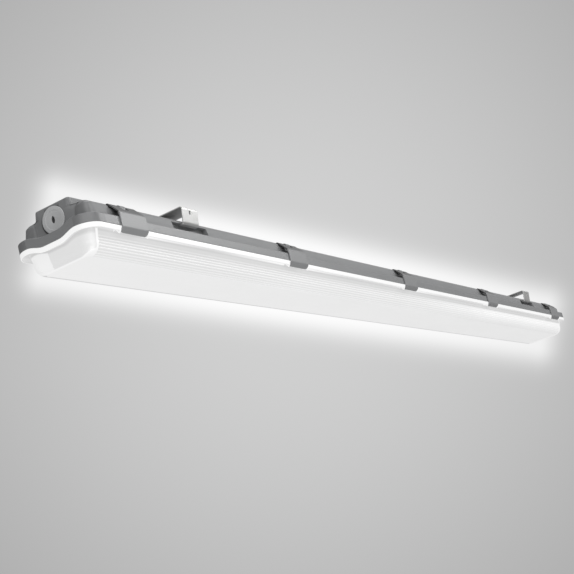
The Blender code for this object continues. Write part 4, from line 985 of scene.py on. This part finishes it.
def latch_surface(p):
    """The middle of a latch's sheet about its pin: points (x, out, up, tone of painted shade) and faces.

    Rows follow the path by its length. The slot's end bulges: near it a row moves along
    the path by r minus the root of r^2 - d^2. The tip narrows on a quarter circle.
    """
    path, leave = latch_path(p)
    steps = np.linalg.norm(np.diff(path, axis=0), axis=1)
    lengths = np.concatenate([[0], np.cumsum(steps)])
    way = (path[leave + 1] - path[leave]) / steps[leave]
    slot_end = lengths[leave] + (p.slot_reach - path[leave, 0]) / way[0]
    ease = 0.003
    tip_turn = np.linspace(0, QUARTER_TURN, 7)
    tip_rows = lengths[-1] - p.tip_corner * (1 - np.sin(tip_turn))
    plate_rows = lengths[-1] - np.linspace(0.008, 0.016, 3)
    slot_rows = slot_end + np.linspace(-1.6 * ease, 1.6 * ease, 13)
    rows = np.unique(np.round(np.concatenate([lengths, tip_rows, plate_rows, slot_rows]), 6))
    half = p.width / 2
    slot_half = p.lug_half + p.side_gap
    wing = np.concatenate([slot_half + ease * np.linspace(0.25, 1, 4), np.linspace(slot_half + ease, half, 4)[1:]])
    middle = slot_half * np.sin(np.linspace(-QUARTER_TURN, QUARTER_TURN, 13))
    columns = np.concatenate([-wing[::-1], middle, wing])
    away = np.abs(columns) - slot_half
    inside = np.clip(away + p.slot_corner, 0, p.slot_corner)
    bulge = p.slot_corner - np.sqrt(p.slot_corner**2 - inside**2)
    bulge = bulge * np.clip(1 - away / ease, 0, 1)
    near = np.clip(1 - np.abs(rows - slot_end) / (1.6 * ease), 0, 1)
    run = rows[:, None] - near[:, None] * bulge
    past = np.clip(rows - (lengths[-1] - p.tip_corner), 0, p.tip_corner)
    width = half - p.tip_corner + np.sqrt(p.tip_corner**2 - past**2)
    points = np.empty((len(rows), len(columns), 4))
    arm_end = lengths[leave + 1]
    hook_start = lengths[-1] - math.hypot(p.gap + p.sheet / 2 + p.hook_inset, p.hook_tip - p.hook_bend)
    # Painted shade along the sheet: dark on the eye and the arm, less on the plate, none on the hook.
    tone = np.where(rows < lengths[leave], p.eye_painted_shade, p.arm_painted_shade)
    tone = tone + (p.plate_painted_shade - tone) * smooth_step((rows - arm_end) / p.bend)
    tone = tone + (1 - tone) * smooth_step((rows - hook_start) / p.bend)
    points[:, :, 3] = tone[:, None]
    points[:, :, 0] = columns * (width / half)[:, None]
    points[:, :, 1] = np.interp(run, lengths, path[:, 0])
    points[:, :, 2] = np.interp(run, lengths, path[:, 1])
    quads = grid_quads(len(rows), len(columns))
    open_rows = rows[:-1] < slot_end - MERGE_DISTANCE
    open_columns = (columns[:-1] > -slot_half - TINY) & (columns[1:] < slot_half + TINY)
    return points, quads[~(open_rows[:, None] & open_columns)]


def strap_mesh(p, housing):
    """A strap's middle surface, in its place across the housing at x = 0.

    Half the profile runs from a lip up the leg to an area about the top slot. There a
    ring of faces joins the slot to the area's edge along rays from its middle.
    """
    leg = housing.half_width - p.leg_inset - p.sheet / 2
    lip = housing.half_width - p.lip_inset
    low = housing.recess_high - housing.seam_drop - 0.0003 - p.sheet / 2
    top = -p.sheet / 2 - 0.000001
    slot_low = -p.leg_slot_drop - p.leg_slot_height / 2
    slot_high = slot_low + p.leg_slot_height
    rise = (np.array([slot_low, slot_high, top]) - low) / (top - low)
    outward = leg + p.leg_lean * rise
    keys = [(lip, low), (leg, low), (outward[0], slot_low), (outward[1], slot_high), (outward[2], top)]
    keys.append((p.patch, top))
    half, starts = trace(keys, [0, p.bend, 0, 0, p.bend, 0], 6)
    wide = p.width / 2
    columns = np.concatenate([
        np.linspace(-wide, -p.leg_slot_half, 8)[:-1],
        np.linspace(-p.leg_slot_half, p.leg_slot_half, 7),
        np.linspace(p.leg_slot_half, wide, 8)[1:],
    ])
    sheet = np.empty((len(half), len(columns), 3))
    sheet[:, :, 0] = columns
    sheet[:, :, 1:] = half[:, None]
    quads = grid_quads(len(half), len(columns))
    cut_rows = np.arange(len(half) - 1) == starts[2]
    inside = (columns[:-1] > -p.leg_slot_half - TINY) & (columns[1:] < p.leg_slot_half + TINY)
    quads = quads[~(cut_rows[:, None] & inside)]
    up = np.linspace(-p.patch, p.patch, 9)[1:-1]
    edge_x = np.concatenate([columns, np.full(7, wide), columns[::-1], np.full(7, -wide)])
    wide_y = np.full(len(columns), p.patch)
    edge_y = np.concatenate([-wide_y, up, wide_y, -up])
    far = np.hypot(edge_x, edge_y)
    cosine = np.abs(edge_x) / far
    sine = np.abs(edge_y) / far
    straight = p.hole_length / 2 - p.hole_radius
    flat = p.hole_radius / np.maximum(sine, TINY)
    root = np.sqrt(np.maximum(p.hole_radius**2 - (straight * sine) ** 2, 0))
    near = np.where(flat * cosine <= straight, flat, straight * cosine + root)
    share = np.linspace(0, 1, 5)[:, None]
    scale = (near + (far - near) * share) / far
    patch = np.stack([edge_x * scale, edge_y * scale, np.full(scale.shape, top)], axis=-1)
    patch_quads = grid_quads(5, len(edge_x), wrap_columns=True)
    count = sheet.shape[0] * sheet.shape[1]
    points = np.concatenate([part.reshape(-1, 3) for part in (sheet, sheet * (1, -1, 1), patch)])
    return points, [quads, quads + count, patch_quads + 2 * count]


def grommet_profile(p, housing):
    """A push-in grommet as pairs of radius and height above the end wall, from its middle outside."""
    gap = 0.0003
    neck = p.hole_radius - gap
    back = -housing.wall - gap
    floor = p.head - p.dimple_depth
    keys = [
        (0, floor),
        (p.dimple_radius * 0.3, floor),
        (p.dimple_radius, p.head - p.step),
        (p.step_radius, p.head - p.step),
        (p.step_radius + p.step, p.head),
        (p.head_radius, p.head),
        (p.head_radius, gap),
        (neck, gap),
        (neck, back),
        (p.lip_radius, back),
        (neck, back - p.lip),
        (0, back - p.lip),
    ]
    rounds = [0, 0.0002, 0.0004, 0.0002, 0.0002, p.head_edge, 0, 0, 0, 0, 0.0004, 0]
    return trace(keys, rounds, 5)[0]


# Finishes


class Flow:
    """An output of a shader node that takes part in arithmetic, and the way to add a node."""

    def __init__(self, tree, socket=None):
        self.tree = tree
        self.socket = socket

    def node(self, kind, settings=(), output=0, **inputs):
        """Adds a node: its settings first, then a value or a link for each input."""
        made = self.tree.nodes.new(kind)
        for name, value in dict(settings).items():
            setattr(made, name, value)
        self.feed(made, inputs)
        return Flow(self.tree, made.outputs[output])

    def feed(self, made, inputs):
        """Sets or links inputs by name (with _ for a space), or by index as i0, i1 and so on."""
        for name, value in inputs.items():
            key = int(name[1:]) if name[0] == "i" and name[1:].isdigit() else name.replace("_", " ")
            if isinstance(value, Flow):
                self.tree.links.new(value.socket, made.inputs[key])
            else:
                made.inputs[key].default_value = value

    def ramp(self, stops, output=0):
        """A colour ramp over this value. Each stop is its place and its grey or colour."""
        made = self.tree.nodes.new("ShaderNodeValToRGB")
        self.tree.links.new(self.socket, made.inputs[0])
        elements = made.color_ramp.elements
        for index, (place, tone) in enumerate(stops):
            stop = elements[index] if index < 2 else elements.new(place)
            stop.position = place
            stop.color = (*tone, 1) if isinstance(tone, tuple) else (tone, tone, tone, 1)
        return Flow(self.tree, made.outputs[output])

    def math(self, operation, *values):
        """A Math node over this value and up to two more."""
        inputs = {f"i{index}": value for index, value in enumerate((self, *values))}
        return self.node("ShaderNodeMath", {"operation": operation}, **inputs)

    def mix(self, factor, a, b, mode="MIX"):
        """A Mix node over two colours."""
        a = (*a, 1) if isinstance(a, tuple) else a
        b = (*b, 1) if isinstance(b, tuple) else b
        settings = {"data_type": "RGBA", "blend_type": mode}
        return self.node("ShaderNodeMix", settings, 2, i0=factor, i6=a, i7=b)

    def noise(self, coordinates, scale, detail=2.0, roughness=0.5):
        """The value of a Noise Texture."""
        return self.node(
            "ShaderNodeTexNoise", Vector=coordinates, Scale=scale, Detail=detail, Roughness=roughness
        )

    def stretched(self, coordinates, scale):
        """Coordinates scaled along each axis."""
        return self.node("ShaderNodeMapping", Vector=coordinates, Scale=scale)

    def axes(self, coordinates):
        """The three axes of a vector."""
        split = self.tree.nodes.new("ShaderNodeSeparateXYZ")
        self.tree.links.new(coordinates.socket, split.inputs[0])
        return [Flow(self.tree, socket) for socket in split.outputs]

    def bump(self, height, distance, strength=1.0):
        """A normal that follows a height."""
        return self.node("ShaderNodeBump", Strength=strength, Distance=distance, Height=height)

    def __add__(self, other):
        return self.math("ADD", other)

    def __radd__(self, other):
        return self.math("ADD", other)

    def __sub__(self, other):
        return self.math("SUBTRACT", other)

    def __rsub__(self, other):
        return (self * -1) + other

    def __mul__(self, other):
        return self.math("MULTIPLY", other)

    def __rmul__(self, other):
        return self.math("MULTIPLY", other)

    def __truediv__(self, other):
        return self.math("DIVIDE", other)

    def __lt__(self, other):
        return self.math("LESS_THAN", other)

    def __gt__(self, other):
        return self.math("GREATER_THAN", other)


def begin(name):
    """A new material: the way to add nodes, its shader, and its object coordinates."""
    material = bpy.data.materials.new(name)
    material.use_nodes = True
    tree = material.node_tree
    flow = Flow(tree)
    here = flow.node("ShaderNodeTexCoord", output=3)
    return material, flow, tree.nodes["Principled BSDF"], here


def tinted(flow, colour, amount, tone):
    """A colour that a tone from 0 to 1 darkens and lightens by a share."""
    low = tuple(channel * (1 - amount) for channel in colour)
    high = tuple(min(channel * (1 + amount), 1) for channel in colour)
    return flow.mix(tone, low, high)


def moulded(name, colour, grain=0.000012, roughness=0.32, with_painted_shade=False, plug=None):
    """Moulded plastic: fine grain, faint lengthwise flow lines and a little unevenness.

    A piece with painted shade is darkened by its own "tone" values, which hold that shade. A plug
    gives the height and the radius of a round head; the wall round its lower far side gets a painted
    shadow: a bell of the distance from its edge, times how far the place lies down and out.
    """
    material, flow, shader, here = begin(name)
    flow_lines = flow.noise(flow.stretched(here, (6, 160, 160)), 1.0, 3.0)
    clouds = flow.noise(here, 22.0, 3.0)
    fine = flow.noise(here, 2600.0, 2.0)
    tone = clouds * 0.6 + flow_lines * 0.4
    finish = tinted(flow, colour, 0.07, tone)
    if with_painted_shade:
        # The tone values hold painted shade.
        painted_shade = flow.node("ShaderNodeAttribute", {"attribute_name": "tone"}, 2)
        finish = flow.mix(painted_shade, (0.0, 0.0, 0.0), finish)
    # A painted shadow of the grommet's head on the end wall, at its lower far side.
    if plug:
        height, radius, end = plug
        x, y, z = flow.axes(here)
        up = z - height
        away = (y * y + up * up).math("POWER", 0.5) - radius
        ring = ((away * away) * (-1 / 0.0009**2)).math("EXPONENT")
        low = ((y - up * 0.9) * (1 / radius) - 0.1).math("MAXIMUM", 0.0).math("MINIMUM", 1.0)
        painted_shadow = ring * low * (x.math("ABSOLUTE") > end)
        finish = flow.mix(painted_shadow * 0.85, finish, (0.004, 0.004, 0.004))
    flow.feed(shader, {
        "Base Color": finish,
        "Roughness": (fine - 0.5) * 0.16 + (clouds - 0.5) * 0.1 + roughness,
        "Normal": flow.bump(fine + flow_lines * 0.6, grain),
        "Specular IOR Level": 0.4,
    })
    return material


def frosted_lens(colours, stage):
    """The lit lens: its glow comes from the shape's own values, under a glossy face."""
    material, flow, shader, here = begin("lens_plastic_finish")
    glow = flow.node("ShaderNodeAttribute", {"attribute_name": "glow"}, 2)
    clouds = flow.noise(flow.stretched(here, (9, 30, 30)), 1.0, 3.0)
    fine = flow.noise(here, 3200.0, 2.0)
    bright = glow * ((clouds - 0.5) * 0.05 + 1)
    flow.feed(shader, {
        "Base Color": tinted(flow, tuple(colours.lens), 0.04, clouds),
        "Roughness": (fine - 0.5) * 0.1 + 0.42,
        "Normal": flow.bump(fine, 0.000006),
        "Emission Color": flow.mix(bright, (0.0, 0.0, 0.0), tuple(colours.lens_light)),
        "Emission Strength": stage.lens_power,
        "Coat Weight": 0.35,
        "Coat Roughness": 0.2,
    })
    return material


def brushed_steel(name, colour):
    """Stainless sheet with brush lines across the fixture and soft smudges."""
    material, flow, shader, here = begin(name)
    brush = flow.noise(flow.stretched(here, (5200, 60, 60)), 1.0, 3.0)
    smudge = flow.noise(here, 90.0, 3.0)
    flow.feed(shader, {
        "Base Color": tinted(flow, colour, 0.06, smudge),
        "Metallic": 1.0,
        "Roughness": (brush - 0.5) * 0.16 + (smudge - 0.5) * 0.12 + 0.4,
        "Normal": flow.bump(brush, 0.000004),
    })
    return material


def zinc_plate(name, colour):
    """Zinc plating: a spangle of cells, dulled in patches."""
    material, flow, shader, here = begin(name)
    spangle = flow.node("ShaderNodeTexVoronoi", output=1, Vector=here, Scale=1400.0)
    red, green, blue = flow.axes(spangle)
    patch = flow.noise(here, 420.0, 3.0)
    flow.feed(shader, {
        "Base Color": tinted(flow, colour, 0.16, red * 0.5 + patch * 0.5),
        "Metallic": 1.0,
        "Roughness": (patch - 0.5) * 0.3 + 0.38,
        "Normal": flow.bump(patch, 0.00002),
    })
    return material


def foam_rubber(name, colour):
    """Closed cell foam: pits of two sizes under a matt skin."""
    material, flow, shader, here = begin(name)
    cells = flow.node("ShaderNodeTexVoronoi", Vector=here, Scale=2100.0)
    small = flow.noise(here, 4200.0, 2.0)
    pits = cells.ramp([(0.0, 0.0), (0.35, 0.8), (1.0, 1.0)])
    flow.feed(shader, {
        "Base Color": tinted(flow, colour, 0.5, cells * 0.7 + small * 0.3),
        "Roughness": (small - 0.5) * 0.2 + 0.85,
        "Normal": flow.bump(pits.math("ADD", small * 0.4), 0.00006),
    })
    return material


def powder_coat(name, colour, peel=380.0):
    """Powder coated sheet: orange peel and faint dust."""
    material, flow, shader, here = begin(name)
    waves = flow.noise(here, peel, 2.0)
    dust = flow.noise(here, 35.0, 4.0, 0.65)
    flow.feed(shader, {
        "Base Color": tinted(flow, colour, 0.05, dust),
        "Roughness": (dust - 0.5) * 0.2 + 0.4,
        "Normal": flow.bump(waves, 0.00004),
    })
    return material


def led_board(name, colours, node):
    """White solder mask with copper tracks under it, and a yellow face on each LED.

    Each LED's face is a rounded square in a repeat of the board's pitch, on the lowest
    plane of the board.
    """
    low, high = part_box(node)
    connector = 0.009
    pitch = (high.x - low.x - 2 * connector) / 16
    way = 1 if low.x > 0 else -1
    first = (low.x + high.x) / 2 + way * connector - 7.5 * pitch
    material, flow, shader, here = begin(name)
    x, y, z = flow.axes(here)
    across = (((x - first) / pitch + 0.5).math("FRACT") - 0.5).math("ABSOLUTE") * (pitch / 0.0018)
    along = y.math("ABSOLUTE") * (1 / 0.001)
    square = across.math("POWER", 4.0) + along.math("POWER", 4.0)
    led_low = high.z - 0.0012 - 0.0008
    led_high = high.z - 0.0012 - 0.00095 + 0.0002
    face = (square < 1.0) * (z < led_high) * (z > led_low - 0.0004)
    track = ((y.math("ABSOLUTE") - 0.0048).math("ABSOLUTE") < 0.0014) * (z > high.z - 0.0013)
    speck = flow.noise(here, 900.0, 3.0)
    white = tinted(flow, tuple(colours.board), 0.04, speck)
    lined = flow.mix(track * 0.16, white, (0.62, 0.58, 0.42))
    flow.feed(shader, {
        "Base Color": flow.mix(face, lined, tuple(colours.phosphor)),
        "Roughness": face * 0.25 + (speck - 0.5) * 0.1 + 0.32,
        "Normal": flow.bump(track + speck * 0.3, 0.00003),
    })
    return material


def insulation(name, colour):
    """Wire insulation: glossy, with faint draw lines along it."""
    material, flow, shader, here = begin(name)
    lines = flow.noise(flow.stretched(here, (80, 2400, 2400)), 1.0, 2.0)
    flow.feed(shader, {
        "Base Color": tinted(flow, colour, 0.1, lines),
        "Roughness": (lines - 0.5) * 0.2 + 0.36,
        "Normal": flow.bump(lines, 0.00001),
    })
    return material


def cover_nodes(material, names):
    """Gives carried-over CAD nodes a finish through their objects' own slots."""
    for name in names:
        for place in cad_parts[name].material_slots:
            place.link = "OBJECT"
            place.material = material


# Operators


class BuildHousing(Operator):
    """Build the moulded housing"""

    bl_idname = "vapor_light.housing"
    bl_label = "Housing"

    def execute(self, context):
        p = context.scene.vapor_light
        mesh = housing_mesh(p.housing, p.latch, p.strap)
        colour = tuple(p.colours.housing)
        # Where the painted shadow of each grommet's head falls on the end wall.
        plug = (
            p.grommet.height - p.housing.seam_drop,
            p.grommet.head_radius + 0.0011,
            p.housing.half_length - p.housing.end_wall_inset - 0.001,
        )
        finish = moulded("housing_plastic_finish", colour, with_painted_shade=True, plug=plug)
        piece = add_piece("moulded_housing", mesh, finish, "fixture", "housing")
        cut_cable_holes(piece, p.housing, p.grommet)
        shade(piece.data)
        even_normals(piece)
        return {"FINISHED"}


class BuildLens(Operator):
    """Build the ribbed lens with its rim"""

    bl_idname = "vapor_light.lens"
    bl_label = "Lens"

    def execute(self, context):
        p = context.scene.vapor_light
        mesh = lens_mesh(p.lens, p.housing, p.latch)
        shade(mesh)
        finish = frosted_lens(p.colours, p.stage)
        piece = add_piece("ribbed_lens", mesh, finish, "fixture", "lens")
        even_normals(piece)
        return {"FINISHED"}


class BuildLatches(Operator):
    """Build the latches, each about its pin"""

    bl_idname = "vapor_light.latches"
    bl_label = "Latches"

    def execute(self, context):
        p = context.scene.vapor_light
        points, quads = latch_surface(p.latch)
        # The latches take painted shade from their tone values.
        finish = moulded("latch_plastic_finish", tuple(p.colours.latch), 0.000008, 0.3, True)
        pin_y = p.housing.half_width - p.latch.pivot_inset
        pin_z = p.latch.pivot_height - p.housing.seam_drop
        for side, way in (("near", -1), ("far", 1)):
            for index, x in enumerate(latch_middles(p.latch)):
                placed = points[..., :3] * (1, way, 1) + (x, way * pin_y, pin_z)
                name = f"{side}_{index + 1}"
                mesh = plain_mesh(f"clip_{name}", placed, [quads], {"tone": points[..., 3]})
                shade(mesh)
                node = f"latch_{name}"
                piece = add_piece(f"clip_{name}", mesh, finish, node, node)
                sheet_wall(piece, p.latch.sheet, p.latch.edge)
        return {"FINISHED"}


class BuildPins(Operator):
    """Build the pins of the latches"""

    bl_idname = "vapor_light.pins"
    bl_label = "Latch pins"

    def execute(self, context):
        p = context.scene.vapor_light
        half = p.latch.width / 2 - 0.0003
        radius = p.latch.pin_radius
        keys = [(0, -half), (radius, -half), (radius, half), (0, half)]
        profile = trace(keys, [0, 0.0002, 0.0002, 0], 2)[0]
        rows, quads = turned(profile, 28)
        finish = brushed_steel("pin_steel_finish", tuple(p.colours.steel))
        pin_y = p.housing.half_width - p.latch.pivot_inset
        pin_z = p.latch.pivot_height - p.housing.seam_drop
        for side, way in (("near", -1), ("far", 1)):
            for index, x in enumerate(latch_middles(p.latch)):
                placed = rows[..., [2, 0, 1]] + (x, way * pin_y, pin_z)
                name = f"{side}_{index + 1}"
                mesh = plain_mesh(f"rod_{name}", placed, [quads])
                shade(mesh)
                node = f"latch_pin_{name}"
                add_piece(f"rod_{name}", mesh, finish, "fixture", node)
        return {"FINISHED"}


class BuildStraps(Operator):
    """Build the two mounting straps"""

    bl_idname = "vapor_light.straps"
    bl_label = "Mounting straps"

    def execute(self, context):
        p = context.scene.vapor_light
        points, faces = strap_mesh(p.strap, p.housing)
        finish = brushed_steel("strap_steel_finish", tuple(p.colours.steel))
        for side, way in (("left", -1), ("right", 1)):
            mesh = plain_mesh(f"hanger_{side}", points + (way * p.strap.spacing / 2, 0, 0), faces)
            shade(mesh)
            node = f"mounting_strap_{side}"
            piece = add_piece(f"hanger_{side}", mesh, finish, node, node)
            sheet_wall(piece, p.strap.sheet, p.strap.edge)
        return {"FINISHED"}


class BuildGrommets(Operator):
    """Build the cable grommets in the end walls"""

    bl_idname = "vapor_light.grommets"
    bl_label = "Cable grommets"

    def execute(self, context):
        p = context.scene.vapor_light
        profile = grommet_profile(p.grommet, p.housing)
        rows, quads = turned(profile, 96)
        in_dimple = profile[:, 0] < p.grommet.dimple_radius * 1.2
        in_dimple[len(profile) // 2 :] = False
        rows[in_dimple, :, 0] *= p.grommet.dimple_narrow
        finish = moulded("grommet_rubber_finish", tuple(p.colours.grommet), 0.000006, 0.6, True)
        # Painted shade in the dimple, through the tone values.
        tone = np.ones(rows.shape[:2])
        tone[in_dimple & (profile[:, 0] < p.grommet.dimple_radius * 0.97)] = p.grommet.dimple_painted_shade
        face = p.housing.half_length - p.housing.end_wall_inset
        z = p.grommet.height - p.housing.seam_drop
        for side, way in (("left", -1), ("right", 1)):
            placed = rows[..., [2, 0, 1]] * (way, 1, 1) + (way * face, 0, z)
            mesh = plain_mesh(f"cable_plug_{side}", placed, [quads], {"tone": tone})
            shade(mesh)
            node = f"cable_grommet_{side}"
            add_piece(f"cable_plug_{side}", mesh, finish, "fixture", node)
        return {"FINISHED"}


class FinishGasket(Operator):
    """Finish the foam gasket"""

    bl_idname = "vapor_light.gasket"
    bl_label = "Gasket"

    def execute(self, context):
        colours = context.scene.vapor_light.colours
        cover_nodes(foam_rubber("foam_finish", tuple(colours.foam)), ["gasket"])
        return {"FINISHED"}


class FinishTray(Operator):
    """Finish the gear tray and its screws"""

    bl_idname = "vapor_light.tray"
    bl_label = "Gear tray"

    def execute(self, context):
        colours = context.scene.vapor_light.colours
        cover_nodes(powder_coat("tray_finish", tuple(colours.tray)), ["gear_tray"])
        screws = [f"tray_screw_{number}" for number in range(1, 5)]
        cover_nodes(zinc_plate("tray_screw_finish", tuple(colours.zinc)), screws)
        return {"FINISHED"}


class FinishBoards(Operator):
    """Finish the LED boards"""

    bl_idname = "vapor_light.boards"
    bl_label = "LED boards"

    def execute(self, context):
        colours = context.scene.vapor_light.colours
        for side in ("left", "right"):
            node = f"led_board_{side}"
            cover_nodes(led_board(f"board_{side}_finish", colours, node), [node])
        return {"FINISHED"}


class FinishDriver(Operator):
    """Finish the driver and its screws"""

    bl_idname = "vapor_light.driver"
    bl_label = "Driver"

    def execute(self, context):
        colours = context.scene.vapor_light.colours
        cover_nodes(powder_coat("driver_finish", tuple(colours.driver), 700.0), ["led_driver"])
        screws = ["driver_screw_1", "driver_screw_2"]
        cover_nodes(zinc_plate("driver_screw_finish", tuple(colours.zinc)), screws)
        return {"FINISHED"}


class FinishWiring(Operator):
    """Finish the terminal block and the wires"""

    bl_idname = "vapor_light.wiring"
    bl_label = "Terminal block and wires"

    def execute(self, context):
        colours = context.scene.vapor_light.colours
        cover_nodes(moulded("block_finish", tuple(colours.block), 0.00002, 0.45), ["terminal_block"])
        wires = {
            "wire_live": (0.13, 0.05, 0.022),
            "wire_neutral": (0.03, 0.1, 0.42),
            "lead_left": (0.5, 0.03, 0.025),
            "lead_right": (0.03, 0.03, 0.032),
        }
        for node, tone in wires.items():
            cover_nodes(insulation(f"{node}_finish", tone), [node])
        return {"FINISHED"}


def backdrop(p, housing, place, ahead):
    """Soft studio surroundings: a grey that brightens in the view, and a halo at the fixture.

    A direction is put on the plane one metre ahead of the camera. The glow is a bell,
    exp(-(r / reach)^2), about the view's middle. The halo is a bell of the distance
    beyond the fixture's outline, whose half thickness changes evenly along it.
    """
    world = bpy.data.worlds.new("studio")
    bpy.context.scene.world = world
    world.use_nodes = True
    flow = Flow(world.node_tree)
    here = flow.node("ShaderNodeTexCoord", output=3)
    near = (Vector((CAD_LOW.x, 0, CAD_LOW.z / 2)) - place).normalized()
    far = (Vector((CAD_HIGH.x, 0, CAD_LOW.z / 2)) - place).normalized()
    across = near.cross(far).normalized()
    along = across.cross(ahead).normalized()

    def lean(direction):
        return flow.node(
            "ShaderNodeVectorMath", {"operation": "DOT_PRODUCT"}, 1, i0=here, i1=tuple(direction)
        )

    profile = [
        (housing.ridge_edge_half, housing.ridge_height - housing.seam_drop),
        (housing.half_width, housing.skirt_height - housing.seam_drop),
        (housing.half_width, -housing.seam_drop),
        (housing.half_width * 0.6, CAD_LOW.z),
    ]

    def seen(x):
        """The place along, the middle and the half thickness of the fixture's profile at one x."""
        spots = [Vector((x, side * y, z)) - place for y, z in profile for side in (-1, 1)]
        ups = [spot.dot(across) / spot.dot(ahead) for spot in spots]
        runs = [spot.dot(along) / spot.dot(ahead) for spot in spots]
        return sum(runs) / len(runs), (max(ups) + min(ups)) / 2, (max(ups) - min(ups)) / 2

    start, start_middle, start_half = seen(CAD_LOW.x)
    end, end_middle, end_half = seen(CAD_HIGH.x)
    depth = lean(ahead).math("MAXIMUM", 0.05)
    up = lean(across) / depth
    run = lean(along) / depth
    share = ((run - start) / (end - start)).math("MAXIMUM", 0.0).math("MINIMUM", 1.0)
    middle = share * (end_middle - start_middle) + start_middle
    half = share * (end_half - start_half) + start_half
    beyond = ((up - middle).math("ABSOLUTE") - half).math("MAXIMUM", 0.0)
    past = ((run - (start + end) / 2).math("ABSOLUTE") - abs(end - start) / 2).math("MAXIMUM", 0.0)
    front = lean(ahead) > 0.0
    wide = ((up * up + run * run) * (-1 / p.wide_reach**2)).math("EXPONENT") * front
    narrow = ((beyond * beyond + past * past) * (-1 / p.halo_reach**2)).math("EXPONENT") * front
    light = wide * p.wide_glow + narrow * p.halo + p.backdrop
    shader = world.node_tree.nodes["Background"]
    flow.feed(shader, {"Color": flow.mix(light, (0.0, 0.0, 0.0), (1.0, 1.0, 1.0))})


def area_light(name, place, aim, size, power):
    """A soft rectangular light that faces a point."""
    data = bpy.data.lights.new(name, "AREA")
    data.shape = "RECTANGLE"
    data.size, data.size_y = size
    data.energy = power
    light = bpy.data.objects.new(name, data)
    light.location = place
    light.rotation_euler = (Vector(aim) - Vector(place)).to_track_quat("-Z", "Y").to_euler()
    bpy.context.scene.collection.objects.link(light)


class SetStage(Operator):
    """Set up the floor, the lights and the camera"""

    bl_idname = "vapor_light.stage"
    bl_label = "Stage"

    def execute(self, context):
        settings = context.scene.vapor_light
        p = settings.stage
        size = p.floor_size
        steps = np.linspace(-size, size, 25)
        x, y = np.meshgrid(steps, steps)
        points = np.stack([x, y, np.full(x.shape, p.floor_height)], axis=-1)
        mesh = plain_mesh("studio_floor", points, [grid_quads(25, 25)])
        floor = bpy.data.objects.new("studio_floor", mesh)
        context.scene.collection.objects.link(floor)
        mesh.materials.append(powder_coat("floor_finish", tuple(settings.colours.floor), 6.0))
        place = Vector((-1.41358, -0.61610, -0.37681))
        forward = Vector((0.85840, 0.45146, 0.24359))
        data = bpy.data.cameras.new("studio_camera")
        data.lens = p.lens
        data.clip_start = 0.01
        camera = bpy.data.objects.new("studio_camera", data)
        camera.location = place
        roll = Quaternion((0, 0, 1), math.radians(-15.17))
        camera.rotation_mode = "QUATERNION"
        camera.rotation_quaternion = forward.to_track_quat("-Z", "Y") @ roll
        context.scene.collection.objects.link(camera)
        context.scene.camera = camera
        area_light("key_light", (-1.6, -1.25, 0.64), (-0.4, 0, 0), (2.4, 1.6), p.key_power)
        area_light("strip_light", (1.15, -1.36, 0.87), (1.15, 0, 0.87), (1.5, 0.7), p.strip_power)
        area_light("low_light", (-1.2, -1.5, -1.4), (-0.3, 0, 0), (1.6, 1.0), p.low_power)
        area_light("top_light", (0.2, -0.6, 2.2), (0.2, 0, 0), (2.4, 1.6), p.top_power)
        backdrop(p, settings.housing, place, forward)
        context.scene.view_settings.view_transform = "Standard"
        return {"FINISHED"}


class VaporLightPanel(Panel):
    """The steps that build the fixture"""

    bl_idname = "VIEW3D_PT_vapor_light"
    bl_label = "Vapor tight light"
    bl_space_type = "VIEW_3D"
    bl_region_type = "UI"
    bl_category = "Vapor light"

    def draw(self, context):
        for step in STEPS:
            self.layout.operator(step.bl_idname)


GROUPS = (HousingSizes, LensSizes, LatchSizes, StrapSizes, GrommetSizes, Colours, StageSettings)
STEPS = (
    BuildHousing,
    BuildLens,
    BuildLatches,
    BuildPins,
    BuildStraps,
    BuildGrommets,
    FinishGasket,
    FinishTray,
    FinishBoards,
    FinishDriver,
    FinishWiring,
    SetStage,
)


def register():
    """Adds the settings, the operators and the panel."""
    for kind in (*GROUPS, FixtureSettings, *STEPS, VaporLightPanel):
        bpy.utils.register_class(kind)
    bpy.types.Scene.vapor_light = PointerProperty(type=FixtureSettings)


def unregister():
    """Takes them away again."""
    del bpy.types.Scene.vapor_light
    for kind in (VaporLightPanel, *reversed(STEPS), FixtureSettings, *reversed(GROUPS)):
        bpy.utils.unregister_class(kind)


def main():
    """Builds every piece and the stage."""
    register()
    steps = bpy.ops.vapor_light
    steps.housing()
    steps.lens()
    steps.latches()
    steps.pins()
    steps.straps()
    steps.grommets()
    steps.gasket()
    steps.tray()
    steps.boards()
    steps.driver()
    steps.wiring()
    steps.stage()


if __name__ == "__main__":
    main()
